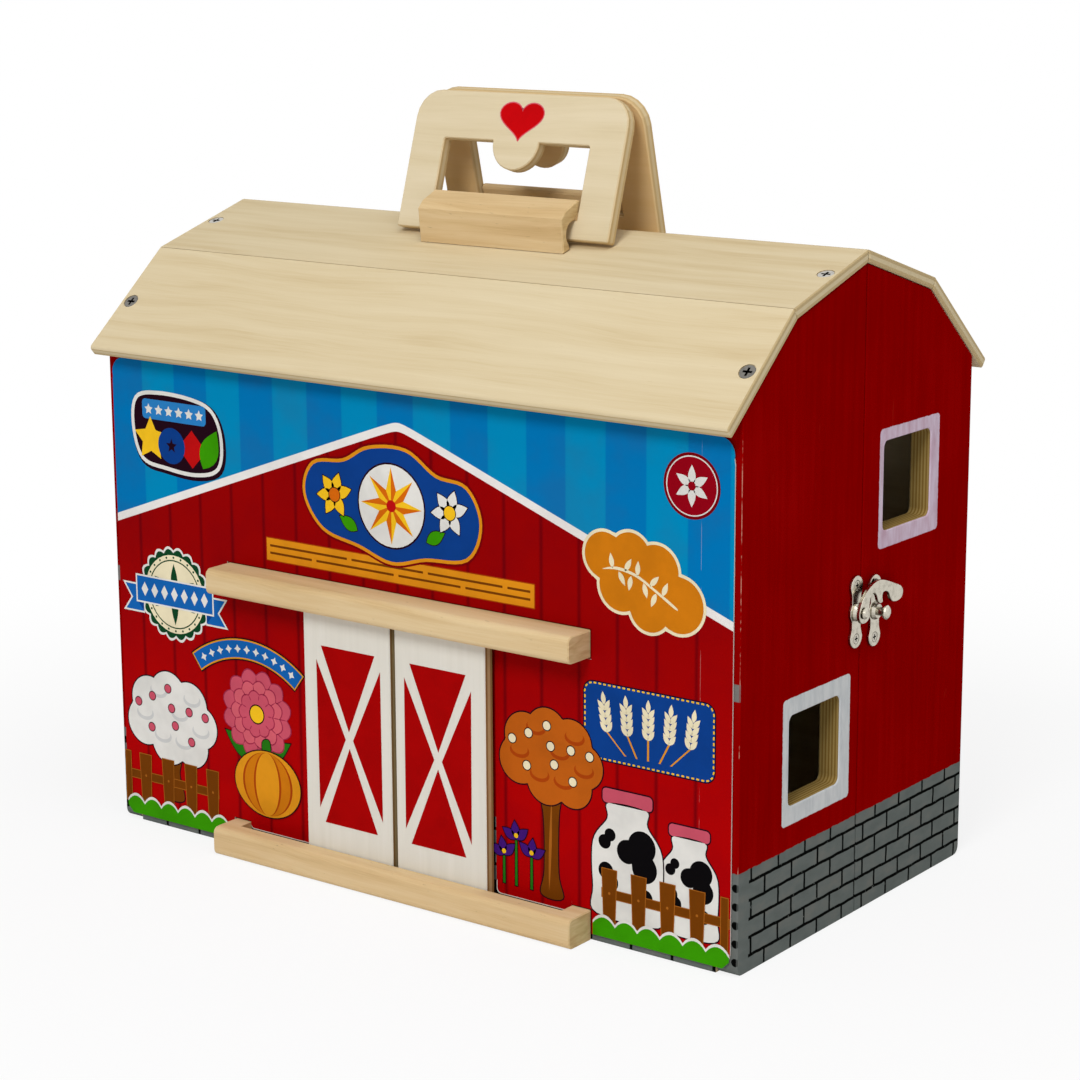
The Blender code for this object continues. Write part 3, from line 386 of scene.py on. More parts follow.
def brick_joints(g, across, first, start):
    """Returns the mask of the painted joints, from where a course's first upright joint stands."""
    wobble = (g.noise(0.16, 2) - 0.5) * 0.9
    course = (g.z + wobble - BRICK_FIRST_LINE) / BRICK_COURSE
    row = g.math("FLOOR", course)
    odd = g.math("PINGPONG", row, 1.0)
    along = (across + wobble - first) / BRICK_LENGTH + odd * 0.5
    masks = []
    for away, size in ((course - row, BRICK_COURSE), (g.math("FRACT", along), BRICK_LENGTH)):
        near = g.math("PINGPONG", away, 0.5)
        masks.append(g.rise(near, (JOINT + 0.2) / size, (JOINT - 0.1) / size))
    inked = g.rise(g.noise(0.5, 2), 0.2, 0.36)
    return g.either(*masks) * g.rise(across, start - 0.2, start + 0.2) * inked


def brick_paint(g, across, first, start):
    """Returns the grey painted bricks' colour."""
    grey = g.ramp(g.noise((0.09, 0.09, 0.16), 4), (0.3, 0.5, 0.72), BRICK_GREY)
    return g.mix(brick_joints(g, across, first, start), grey, JOINT_BLACK)


def brick_band(g):
    """Returns the mask of the grey band, with its ragged top."""
    ragged = g.z + g.noise((0.25, 0.25, 0.0), 2) * 1.2
    return g.rise(ragged, BRICK_TOP + 0.9, BRICK_TOP + 0.5)


def red_paint(g):
    """Returns the (colour, height) of the brushed red paint."""
    strokes = g.noise((0.3, 0.3, 0.012), 4, 0.6)
    colour = g.ramp(strokes * 0.5 + g.noise(0.018) * 0.5, (0.36, 0.5, 0.66), BARN_RED)
    scuff = g.rise(g.noise((0.14, 0.14, 0.022), 5, 0.7, 0.8), 0.66, 0.78)
    return g.mix(scuff * 0.22, colour, (190, 60, 40)), strokes


def window_border(g, reach, height, half_wide, half_high, tint, light):
    """Returns (mask, colour) of the brushed pale border painted round a window."""
    fray = (g.noise(0.45, 4, 0.7) - 0.5) * 0.9
    wide = g.math("MAXIMUM", abs(g.y - reach) - (half_wide - BORDER_ROUND), 0.0)
    high = g.math("MAXIMUM", abs(g.z - height) - (half_high - BORDER_ROUND), 0.0)
    mask = g.rise(g.length(wide, high) + fray, BORDER_ROUND + 0.15, BORDER_ROUND - 0.15)
    return mask, g.ramp(g.noise((0.1, 0.25, 0.06), 4, 0.65), (0.3, 0.6), (tint, light))


def gable_material(name, end, side):
    """Painted outside, bare plywood inside, with bricks round the foot and borders round windows."""
    g = Graph(name, gloss=0.0)
    wood, wood_height = grain(g, BIRCH, "z")
    paint, strokes = red_paint(g)

    # The outer corner's paint is worn through here and there, most of all below the eave
    worn = g.noise((0.12, 0.12, 0.05), 4, 0.7) + g.inside(g.z, *WORN_HEIGHTS, 6.0) * 0.09
    corner = (g.rise(abs(g.y), *(HALF_DEPTH - rim for rim in WORN_RIM))
              * g.rise(abs(g.x), *(HALF_WIDTH - rim for rim in WORN_RIM)))
    paint = g.mix(corner * g.rise(worn, 0.53, 0.62), paint, (214, 168, 146))

    # On the front edge the brick band shows a column of dots, and a grey dab stands higher up
    on_front = g.rise(abs(g.ny), 0.6, 0.8) * g.rise(abs(g.y), 80.0, 80.1)
    up = g.math("PINGPONG", (g.z - (BRICK_FIRST_LINE - 0.6)) / BRICK_COURSE, 0.5) * BRICK_COURSE
    dots = (g.rise(g.length(up, abs(g.x) - DOT_COLUMN), DOT_RADIUS + 0.15, DOT_RADIUS - 0.15)
            * g.rise(g.z, BRICK_FIRST_LINE - 3.0, BRICK_FIRST_LINE - 2.9))
    first = FRONT_FIRST_JOINT if side < 0 else BACK_FIRST_JOINT
    bricks = brick_paint(g, g.y, first, GABLE_JOINTS_START)
    bricks = g.mix(on_front, bricks, g.mix(dots, (104, 108, 105), JOINT_BLACK))
    dab = on_front * g.rise(g.y, 0.0, -0.1) * g.inside(g.z, *DAB_HEIGHTS)
    paint = g.mix(brick_band(g), g.mix(dab, paint, (118, 114, 111)), bricks)
    if end > 0:
        mask, pale = window_border(g, *(LOWER_WINDOW if side < 0 else UPPER_WINDOW))
        paint = g.mix(mask, paint, pale)

    # Paint covers the outside, the faces at the split and the upright outer edges
    outward = g.nx * float(end)
    inner = g.rise(-outward, 0.35, 0.5)
    outer_edge = g.rise(abs(g.y), HALF_DEPTH - 8.0, HALF_DEPTH - 7.9)
    underside = g.rise(-g.nz, 0.9, 0.95)
    painted = g.either(g.rise(outward, 0.35, 0.5), g.rise(abs(g.y), 0.6, 0.5),
                       outer_edge * (1 - inner) * (1 - underside))
    edge = plies(g, HALF_WIDTH - abs(g.x), GABLE_THICKNESS, 13, SHADED_GABLE_PLIES)
    colour = g.mix(painted, g.mix(inner, edge, wood), paint)
    normal = g.bump(g.blend(painted, wood_height, strokes), 0.25, 0.12)
    return g.finish(colour, g.blend(strokes, 0.34, 0.5), normal)


def wall_material(name, side):
    """Painted outside with bricks along the foot, bare plywood inside, and a near-black painted shadow in the
    groove behind the lower rail.
    """
    g = Graph(name, gloss=0.0)
    wood, wood_height = grain(g, BIRCH)
    paint, strokes = red_paint(g)
    paint = g.mix(brick_band(g), paint, brick_paint(g, g.x, WALL_FIRST_JOINT, WALL_JOINTS_START))
    # Painted shadow: the wall turns near black where the lower rail's groove shades it
    rail_groove_shadow = (g.inside(g.x, -RAIL_GROOVE_REACH, RAIL_GROOVE_REACH) * g.rise(g.y, 0.0, -0.1)
                   * g.rise(g.z, RAIL_GROOVE_TOP + 0.2, RAIL_GROOVE_TOP - 0.2))
    paint = g.mix(rail_groove_shadow, paint, (16, 13, 11))
    outside = g.rise(g.ny * float(side), 0.35, 0.5)
    normal = g.bump(g.blend(outside, wood_height, strokes), 0.25, 0.12)
    return g.finish(g.mix(outside, wood, paint), g.blend(strokes, 0.34, 0.5), normal)


def board_material():
    """Bare plywood floor and loft."""
    g = Graph("board_plywood")
    colour, height = grain(g, BIRCH)
    return g.finish(colour, g.blend(height, 0.5, 0.66), g.bump(height, 0.25, 0.15))


def door_material(name):
    """White satin paint on the face and bare plywood on the edges."""
    g = Graph(name)
    strokes = g.noise((0.35, 0.35, 0.014), 4, 0.6)
    white = g.ramp(strokes, (0.3, 0.5, 0.7), DOOR_WHITE)
    edge = plies(g, g.y + -DOOR_FACE, DOOR_THICKNESS, 3, DOOR_PLIES)
    colour = g.mix(g.rise(abs(g.ny), 0.4, 0.6), edge, white)
    return g.finish(colour, g.blend(strokes, 0.34, 0.46), g.bump(strokes, 0.02, 0.04))


def card_material():
    """Printed card: striped sky over a planked barn front, parted by a white roof line."""
    g = Graph("card_print", gloss=0.008)
    line = GABLE_LINE_APEX - g.length(abs(g.x), GABLE_LINE_ROUND) * GABLE_LINE_SLOPE
    under = line - g.z
    stripe = g.math("PINGPONG", (g.x - (SKY_FIRST - SKY_STRIPE / 2)) / SKY_STRIPE, 1.0)
    sky = g.mix(g.rise(stripe, 0.47, 0.53), *SKY_BLUE)
    plank = g.math("FRACT", (g.x - (PLANK_FIRST - PLANK_WIDTH / 2)) / PLANK_WIDTH)
    seam = g.rise(abs(plank - 0.5), 0.085, 0.0)
    red = g.mix(g.rise(g.z, 150.0, 40.0), *CARD_RED)
    red = g.mix(seam * 0.68, red, (96, 0, 8))
    colour = g.mix(g.rise(under, -0.12, 0.12), sky, (236, 232, 228))
    colour = g.mix(g.rise(under, GABLE_LINE_WIDTH - 0.12, GABLE_LINE_WIDTH + 0.12), colour, red)
    speckle = g.noise(0.05)
    colour = g.mix(g.rise(speckle, 0.35, 0.7) * 0.12, colour, (60, 0, 20))
    crease = g.inside(g.x, *CREASE, 0.1) * g.rise(g.noise((0.4, 0.4, 0.09), 3, 0.7), 0.46, 0.6)
    colour = g.mix(crease * 0.22, colour, (235, 200, 190))
    colour = g.mix(g.rise(-g.ny, 0.4, 0.6), (214, 208, 200), colour)
    return g.finish(colour, g.blend(speckle, 0.27, 0.36), g.bump(g.noise(0.02, 2), 0.3, 0.5))


def ink_material(name, colour, roughness):
    """Printed or painted colour with the slight mottle of ink."""
    g = Graph(name, gloss=0.008)
    mottle = g.noise(0.06, 3, 0.6)
    darker = tuple(value * 0.93 for value in colour)
    colour = g.mix(g.rise(mottle, 0.3, 0.75), colour, darker)
    return g.finish(colour, g.blend(mottle, roughness - 0.03, roughness + 0.06))


def metal_material(name, lit_tone, shaded_tone, roughness, dark_mask=None):
    """Plated metal with painted light: the lit tone where it faces up and towards the lamps, the shaded tone
    elsewhere; with fine pits and, for screws, the darkening that a mask gives.
    """
    g = Graph(name, roughness, 1.0)
    mottle = g.noise(0.5, 3, 0.6)
    pits = g.rise(g.noise(1.6, 2), 0.62, 0.74)
    # Painted light: faces turned up and towards the lamps take the lit tone, the others the shaded tone
    painted_light = g.rise(g.nz + (g.ny * -0.3 + g.nx * 0.4), -0.5, 0.7)
    colour = g.mix(painted_light, shaded_tone, lit_tone)
    colour = g.mix(g.rise(mottle, 0.45, 0.7) * 0.3, colour, shaded_tone)
    colour = g.mix(pits * 0.25, colour, (96, 88, 74))
    # Painted shadow: near black where the mask marks a screw's recess
    if dark_mask:
        colour = g.mix(dark_mask(g), colour, (22, 19, 16))
    return g.finish(colour, g.blend(mottle, roughness, roughness + 0.12))


def roof_screw_dark(g):
    """Returns where a roof screw is darkened: a painted shadow where its head lies below the roof's face. The
    lower panels' screws are darkened all over.
    """
    lower = g.rise(g.z, UPPER_ROOF_FOOT + 1.0, UPPER_ROOF_FOOT - 1.0)
    return g.either(g.rise(roof_depth(g), 0.35, 0.8), lower * 0.62)


def latch_screw_shade(g):
    """Returns the mask of the painted shadow inside the latch plates' screw heads."""
    return g.rise(g.x, HALF_WIDTH + 1.1, HALF_WIDTH + 0.8)


def finish_frame():
    """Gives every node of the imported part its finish: by its name, or else by a part of its name."""
    looks = {"front_card": card_material()}
    for half, side, lean in (("front", -1, FRONT_LEAN), ("back", 1, BACK_LEAN)):
        looks[f"{half}_wall"] = wall_material(f"{half}_wall_paint", side)
        looks[f"{half}_handle"] = handle_material(f"{half}_handle_ply", side, lean)
        for place, end in (("left", -1), ("right", 1)):
            looks[f"{half}_{place}_gable"] = gable_material(f"{half}_{place}_gable_paint", end, side)
    for door in ("left_door", "right_door"):
        looks[door] = door_material(f"{door}_paint")
    pine = pine_material("sanded_pine")
    kinds = (
        ("roof_screw", metal_material("roof_screw_metal", *SCREW_METAL, 0.28, roof_screw_dark)),
        ("roof", roof_material()),
        ("rail", pine),
        ("block", pine),
        ("plate_screw", metal_material("plate_screw_metal", *PLATE_SCREW_METAL, 0.2, latch_screw_shade)),
        ("latch", metal_material("nickel_plate", *NICKEL, 0.16)),
        ("hinge", metal_material("hinge_metal", *STEEL, 0.28)),
        ("", board_material()),
    )
    for name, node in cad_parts.items():
        look = looks.get(name) or next(look for kind, look in kinds if kind in name)
        for slot in node.material_slots:
            slot.material = look


# Flat outlines, in millimetres

def spoke(x, z, radius, angle):
    """Returns the point at a distance and an angle, in degrees, from a middle."""
    turn = math.radians(angle)
    return Vector((x + radius * math.cos(turn), z + radius * math.sin(turn)))


def circle(x, z, radius, steps=36, squash=1.0):
    """Returns a circle, or an ellipse with its height times squash."""
    rim = [spoke(0, 0, radius, 360 * step / steps) for step in range(steps)]
    return [Vector((x + point.x, z + point.y * squash)) for point in rim]


def star(x, z, outer, inner, count, turn=90.0):
    """Returns a star with a number of points, the first at the turn angle."""
    reaches = (outer, inner)
    return [spoke(x, z, reaches[step % 2], turn + 180 * step / count) for step in range(2 * count)]


def scalloped(x, z, radius, depth, lobes, steps=7):
    """Returns a disc whose rim is a ring of round lobes."""
    points = []
    for step in range(lobes * steps):
        lift = abs(math.sin(math.pi * step / steps))
        points.append(spoke(x, z, radius - depth + depth * lift, 360 * step / (lobes * steps)))
    return points


def block(x0, z0, x1, z1, radius=0.0, steps=5):
    """Returns a rectangle with round corners."""
    if not radius:
        return [(x0, z0), (x1, z0), (x1, z1), (x0, z1)]
    corners = ((x1 - radius, z1 - radius, 0), (x0 + radius, z1 - radius, 90),
               (x0 + radius, z0 + radius, 180), (x1 - radius, z0 + radius, 270))
    return [spoke(x, z, radius, start + 90 * step / steps)
            for x, z, start in corners for step in range(steps + 1)]


def bar(foot, head, side):
    """Returns a straight bar between two points, given the step from its middle line to its edge."""
    return [foot - side, foot + side, head + side, head - side]


def puffs(circles, steps=140):
    """Returns the outline round overlapping circles, given as (x, z, radius) about their common middle."""
    middle = sum((Vector((x, z)) for x, z, _ in circles), Vector((0, 0))) / len(circles)
    points = []
    for step in range(steps):
        way = spoke(0, 0, 1, 360 * step / steps)
        far = 0.0
        for x, z, radius in circles:
            offset = Vector((x, z)) - middle
            along = offset.dot(way)
            aside = offset.length_squared - along * along
            if aside < radius * radius:
                far = max(far, along + math.sqrt(radius * radius - aside))
        points.append(middle + way * far)
    return points


def leaf(x, z, length, width, angle):
    """Returns a pointed leaf that grows from a point at an angle in degrees."""
    steps = 8
    shares = [step / steps for step in range(steps + 1)]
    edge = [(length * share, width / 2 * math.sin(math.pi * share ** 0.85)) for share in shares]
    loop = [(a, -b) for a, b in edge] + edge[-2:0:-1]
    turn = Matrix.Rotation(math.radians(angle), 2)
    return [Vector((x, z)) + turn @ Vector(point) for point in loop]


def smooth(points, x=0, z=0):
    """Returns a closed smooth curve through points, given from a middle."""
    points = [Vector((x, z)) + Vector(point) for point in points]
    steps = 6
    curve = []
    for index in range(len(points)):
        p0, p1, p2, p3 = (points[(index + shift) % len(points)] for shift in (-1, 0, 1, 2))
        for step in range(steps):
            t = step / steps
            bend = (2 * p0 - 5 * p1 + 4 * p2 - p3) * t * t + (3 * p1 - p0 - 3 * p2 + p3) * t * t * t
            curve.append((2 * p1 + (p2 - p0) * t + bend) / 2)
    return curve


def turns_left(points):
    """Says whether an outline runs anticlockwise."""
    return sum(a.x * b.y - b.x * a.y for a, b in zip(points, points[1:] + points[:1])) > 0


def grown(points, distance):
    """Returns an outline moved outwards by a distance."""
    points = [Vector(point) for point in points]
    way = -1 if turns_left(points) else 1
    moved = []
    for index, point in enumerate(points):
        before = (point - points[index - 1]).normalized()
        after = (points[(index + 1) % len(points)] - point).normalized()
        normals = Vector((-before.y, before.x)) + Vector((-after.y, after.x))
        stretch = max(0.35, 1 + before.dot(after))
        moved.append(point + normals * (way * distance / stretch))
    return moved


# Inks and prints

INKS = {
    "line": (34, 8, 22), "white": (228, 226, 220), "cream": (238, 226, 190), "yellow": (246, 194, 34),
    "gold": (226, 150, 30), "orange": (214, 104, 14), "rust": (170, 66, 12), "brown": (116, 60, 8),
    "tan": (168, 98, 30), "green": (58, 152, 6), "leaf": (38, 118, 22), "deep_green": (16, 66, 36),
    "blue": (14, 62, 138), "sky": (44, 128, 196), "red": (188, 16, 18), "dark_red": (120, 4, 10),
    "pink": (214, 96, 110), "door_red": (166, 4, 5), "heart_red": (196, 8, 14), "plank": (224, 144, 26),
    "blossom": (206, 206, 204), "rose": (204, 84, 104), "deep_rose": (160, 44, 74), "purple": (66, 24, 120),
    "autumn": (190, 94, 22), "black": (12, 10, 12), "ribbon": (22, 98, 176), "ribbon_fold": (12, 66, 140),
    "badge": (208, 122, 18), "roundel": (150, 4, 22),
}
PAINTS = ("door_red", "heart_red")
inks = {}


def ink(name):
    """Returns an ink's material, made on first use. The card's own print is one of them."""
    if name == "card":
        return bpy.data.materials["card_print"]
    if name not in inks:
        inks[name] = ink_material(f"ink_{name}", INKS[name], 0.5 if name in PAINTS else 0.3)
    return inks[name]


class Print:
    """Flat shapes laid on a face as one piece, each layer a hair above the one below."""

    def __init__(self, name, origin, up, body, slot):
        self.name = name
        self.origin = origin
        self.across = Vector((1, 0, 0))
        self.up = Vector(up)
        self.body = body
        self.slot = slot
        self.shapes = []

    def add(self, outline, colour, layer=0):
        """Adds one shape."""
        self.shapes.append(([Vector(point) for point in outline], colour, layer))

    def drawn(self, outline, colour, layer=0, line=0.55, line_colour="line"):
        """Adds one shape with a drawn line round it."""
        self.add(grown(outline, line), line_colour, layer)
        self.add(outline, colour, layer + 1)

    def lay(self):
        """Makes the piece and lets it ride on its body."""
        mesh = bpy.data.meshes.new(self.name)
        bm = bmesh.new()
        colours = sorted({colour for _, colour, _ in self.shapes})
        out = self.across.cross(self.up)
        for outline, colour, layer in self.shapes:
            # The lowest layer is -1, and it lies one lift off the face
            start = self.origin + out * ((layer + 2) * PRINT_LIFT * MM)
            loop = outline if turns_left(outline) else outline[::-1]
            corners = [bm.verts.new(start + (self.across * p.x + self.up * p.y) * MM) for p in loop]
            bm.faces.new(corners).material_index = colours.index(colour)
        bm.normal_update()
        bmesh.ops.triangulate(bm, faces=bm.faces, ngon_method="EAR_CLIP")
        bm.to_mesh(mesh)
        bm.free()
        for colour in colours:
            mesh.materials.append(ink(colour))
        piece = put(self.name, mesh)
        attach(piece, self.body)


def on_card(name):
    """Starts a picture on the printed card."""
    return Print(name, at(0, CARD_FACE, 0), (0, 0, 1), "front_half", "printed_card")


# The card's pictures

def print_card_edges():
    """Carries the card's print up to the eave and down into the lower rail's groove."""
    top = on_card("card_top_edge")
    top.add(block(-167.2, 204.0, 167.2, 217.8, 6.9), "card")
    top.lay()
    feet = (("left", (-89.6, -50.4), (-89.6, -50.8)), ("right", (50.4, 89.6), (50.8, 89.6)))
    for name, rim, sheet in feet:
        foot = on_card(f"card_foot_{name}")
        foot.add(block(rim[0], 10.2, rim[1], 17.0, 2.0), "white", -1)
        foot.add(block(sheet[0], 10.6, sheet[1], 17.8, 2.0), "card")
        foot.lay()


def print_grass_and_fence():
    """Prints a picket fence and a scalloped strip of grass at both ends of the card."""
    post_foot, post_top = 9.0, 32.8
    grass_foot, grass_top, scallop = 3.2, 8.2, 3.4
    scallops, steps = 6, 8
    cut = grass_foot + 3.2
    for name, posts, rail, stub, start, end, foot in (
        ("left", (-154.8, -140.4, -126.0, -112.4), (-166.8, -109.0), -166.0, -167.0, -103.0,
         ((-103.0, grass_foot), (-163.8, grass_foot), (-167.0, cut))),
        ("right", (108.7, 123.2, 137.3, 151.6), (105.0, 167.0), 164.6, 100.4, 167.0,
         ((167.0, cut), (163.8, grass_foot), (100.4, grass_foot))),
    ):
        fence = on_card(f"card_fence_{name}")
        fence.drawn(block(rail[0], 20.6, rail[1], 24.2), "brown", 10, 0.35, "tan")
        for x in posts:
            shape = ((x + 3.6, post_top), (x + 2.7, post_foot), (x - 2.7, post_foot), (x - 3.6, post_top))
            fence.drawn(shape, "brown", 12, 0.35, "tan")
            fence.add(circle(x, 22.6, 0.6, 12), "tan", 14)
        fence.drawn(block(stub - 1.6, post_foot, stub + 1.6, post_top), "brown", 12, 0.35, "tan")
        fence.lay()
        grass = on_card(f"card_grass_{name}")
        shape = []
        for step in range(scallops * steps + 1):
            lift = scallop * abs(math.sin(math.pi * (step % steps) / steps)) ** 0.8
            shape.append((start + (end - start) * step / (scallops * steps), grass_top + lift))
        shape += foot
        grass.add([(x, z + (1.3 if z > cut else 0)) for x, z in shape], "white", 15)
        grass.add(shape, "green", 16)
        grass.lay()


def print_planks():
    """Prints a strip of three short-jointed boards under the gable."""
    strip = on_card("card_plank_strip")
    strip.drawn(block(-75.4, 136.6, 71.0, 146.4), "plank", 1, 0.4, "rust")
    for height, gaps in ((139.9, (-48, -2, 34)), (143.2, (-28, 14, 56))):
        edges = [-73.5, *[edge for gap in gaps for edge in (gap - 1.3, gap + 1.3)], 69.0]
        for start, end in zip(edges[::2], edges[1::2]):
            strip.add(block(start, height - 0.5, end, height + 0.5), "brown", 3)
    strip.lay()


def print_sign():
    """Prints a blue sign with a quilt star, daisies and leaves, in place of any name."""
    sign = on_card("card_star_sign")
    x, z = middle = (-4.0, 169.5)
    rim = smooth([(-48, 0), (-43, 13), (-26, 16), (-12, 23), (8, 24), (24, 15), (40, 12), (47, -2), (40, -17),
                  (18, -20), (0, -24), (-18, -19), (-38, -14)], x, z)
    sign.add(grown(rim, 2.4), "dark_red", 4)
    sign.add(grown(rim, 1.5), "plank", 5)
    sign.add(rim, "blue", 6)
    sign.add(circle(x, z, 18.6), "line", 7)
    sign.add(circle(x, z, 17.8), "white", 8)
    for turn in range(0, 360, 45):
        tip = spoke(x, z, 16.6, turn)
        sign.add([middle, spoke(x, z, 7.2, turn - 22.5), tip], "orange", 9)
        sign.add([middle, tip, spoke(x, z, 7.2, turn + 22.5)], "yellow", 9)
    sign.add(circle(x, z, 2.6, 20), "red", 10)
    for way, petals, heart in ((-1, "yellow", "orange"), (1, "white", "yellow")):
        for angle in (20, 75, 130, 185, 240, 300):
            sign.drawn(leaf(x + way * 31.5, z + 1.0, 10.0, 5.4, angle), petals, 8, 0.4)
        sign.drawn(circle(x + way * 31.5, z + 1.0, 3.0, 20), heart, 10, 0.4)
        sign.drawn(leaf(x + way * 19.0, z - 13.0, 11.0, 5.6, 90 - way * 62), "green", 7, 0.4)
    sign.lay()


def print_badges():
    """Prints three plain badges on the sky: a bunch of shapes, a sprig on a cloud and a flower roundel."""
    bunch = on_card("card_shape_badge")
    x, z = -127.0, 186.0
    edge = smooth([(-27, 1), (-25, 14), (-12, 17), (8, 16), (20, 12), (25, 1), (23, -12), (10, -16),
                   (-8, -15), (-22, -12)], x, z)
    bunch.add([(p.x + 0.9, p.y - 0.9) for p in grown(edge, 2.6)], "line", 1)
    bunch.add(grown(edge, 1.8), "white", 2)
    bunch.add(edge, "line", 3)
    bunch.add(block(x - 22.0, z + 5.6, x + 17.0, z + 14.6, 2.0), "sky", 4)
    for step in range(6):
        bunch.add(star(x - 18.0 + 6.2 * step, z + 10.0, 2.6, 1.3, 5), "white", 5)
    bunch.add(star(x - 17.2, z - 3.6, 10.4, 5.4, 5), "yellow", 5)
    bunch.add(circle(x - 4.4, z - 5.4, 8.2), "blue", 6)
    bunch.add(star(x - 4.4, z - 5.4, 3.4, 1.5, 5), "line", 7)
    bunch.add(circle(x + 8.2, z - 5.6, 8.6, 4), "red", 5)
    bunch.add(leaf(x + 14.6, z - 13.6, 20.0, 11.0, 64), "green", 6)
    bunch.lay()

    cloud = on_card("card_cloud_badge")
    circles = ((106.0, 163.6, 9.6), (118.6, 165.0, 9.6), (131.0, 160.6, 10.6), (142.0, 148.4, 11.4),
               (128.0, 145.0, 9.6), (114.0, 152.2, 10.4))
    cloud.add(puffs([(x, z, radius + 1.3) for x, z, radius in circles]), "cream", 1)
    cloud.add(puffs(circles), "badge", 2)
    cloud.add(smooth([(105, 158), (112, 158.6), (121, 157), (130, 152.4), (140, 146.6), (140.3, 147.6),
                      (130, 153.6), (121, 158.2), (112, 159.8)]), "cream", 3)
    for x, z, angle in ((110, 159, 100), (116, 158.6, 60), (122, 157.4, 86), (128, 154.2, 46),
                        (134, 151, 66), (113, 158, -60), (119, 157, -100), (125, 155, -74),
                        (131, 151.6, -112)):
        cloud.add(leaf(x, z, 6.2, 2.4, angle), "cream", 3)
    cloud.lay()

    roundel = on_card("card_star_roundel")
    x, z = 147.5, 196.8
    for layer, (radius, colour) in enumerate(((13.2, "dark_red"), (12.0, "white"), (11.5, "roundel")), 1):
        roundel.add(circle(x, z, radius, 48), colour, layer)
    for turn in range(30, 390, 60):
        roundel.add(leaf(x, z, 8.4, 3.6, turn), "white", 4)
    roundel.add(circle(x, z, 1.8, 20), "roundel", 5)
    roundel.lay()


def print_rosette():
    """Prints a round folk-art rosette with a blank ribbon across it, and a blank curved ribbon."""
    rosette = on_card("card_rosette")
    x, z = -132.6, 112.2
    rosette.add(scalloped(x, z, 22.2, 1.8, 20), "white", 4)
    rosette.add(scalloped(x, z, 21.0, 1.8, 20), "deep_green", 5)
    rosette.add(circle(x, z, 18.2), "cream", 6)
    rosette.add(circle(x, z, 16.0), "deep_green", 7)
    rosette.add(circle(x, z, 15.4), "cream", 8)
    for turn in range(30, 390, 60):
        rosette.add(leaf(x, z, 14.2, 4.2, turn), "deep_green", 9)
    for turn in range(0, 360, 15):
        rosette.add(circle(*spoke(x, z, 17.1, turn), 0.55, 10), "deep_green", 7)
    for way in (-1, 1):
        tail = [(x + way * 20, z - 10.6), (x + way * 31, z - 10.6), (x + way * 26.5, z - 4.8),
                (x + way * 31, z + 1.4), (x + way * 20, z + 1.4)]
        rosette.add(grown(tail, 0.8), "white", 10)
        rosette.add(tail, "ribbon", 11)
        fold = [(x + way * 19.6, z - 10.6), (x + way * 24, z - 5.6), (x + way * 19.6, z - 5.6)]
        rosette.add(fold, "ribbon_fold", 12)
    rosette.add(block(x - 24.2, z - 6.6, x + 24.2, z + 6.6), "white", 13)
    rosette.add(block(x - 23.4, z - 5.8, x + 23.4, z + 5.8), "ribbon", 14)
    for step in range(7):
        rosette.add(circle(x - 18.6 + 6.2 * step, z, 2.1, 4, 1.6), "white", 15)
    rosette.lay()

    arch = on_card("card_arched_ribbon")
    middle = (-89.0, 42.4)
    radius = 51.0
    bands = ((37.6, 5.2, "line"), (37.2, 4.6, "gold"), (36.6, 3.9, "ribbon"))
    for layer, (reach, high, colour) in enumerate(bands, 14):
        angles = [90 + reach - reach * step / 12 for step in range(25)]
        outer = [spoke(*middle, radius + high, angle) for angle in angles]
        inner = [spoke(*middle, radius - high, angle) for angle in angles]
        arch.add(outer + inner[::-1], colour, layer)
    for step in range(11):
        angle = 121 - 6.2 * step
        arch.add(star(*spoke(*middle, radius, angle), 2.0, 1.0, 4, angle), "white", 17)
    arch.lay()


def print_tree(name, x, z, size, crown_ink, shade_ink, fruit_ink):
    """Prints a round-headed tree, its crown and fruit in their own inks."""
    tree = on_card(f"card_{name}_tree")
    foot = 15.0
    trunk = smooth([(x - 5, foot), (x - 3.4, 26), (x - 4, z - 22), (x - 9, z - 10), (x - 4, z - 12),
                    (x, z - 17), (x + 5, z - 10), (x + 9, z - 7), (x + 4.4, z - 20), (x + 3.8, 26),
                    (x + 6, foot)])
    tree.drawn(trunk, "brown", 1)
    tree.add(leaf(x - 1, foot + 2, z - foot - 16, 1.4, 88), "tan", 3)
    shape = ((-17, -2, 11), (-14, 9, 11), (-2, 13, 11), (11, 10, 11), (18, 1, 10), (12, -9, 10),
             (-2, -9, 11))
    crown = puffs([(x + a * size, z + b * size, radius * size) for a, b, radius in shape])
    tree.drawn(crown, crown_ink, 3, 0.6)
    for a, b in ((-17, 2), (-8, 14), (5, 5), (13, 13), (18, -1), (-6, -7), (7, -8)):
        for share, colour, layer in ((1.0, shade_ink, 5), (0.84, crown_ink, 6)):
            curl = circle(x + a * size, z + (b + (1 - share) * 7) * size, 5.4 * size * share, 20, 0.62)
            tree.add(curl, colour, layer)
    for a, b in ((-21, 7), (-13, -4), (-2, 16), (2, -1), (11, 7), (21, 6), (-12, 11), (12, -7), (0, 7)):
        tree.drawn(circle(x + a * size, z + b * size, 1.9, 16), fruit_ink, 8, 0.4)
    tree.lay()


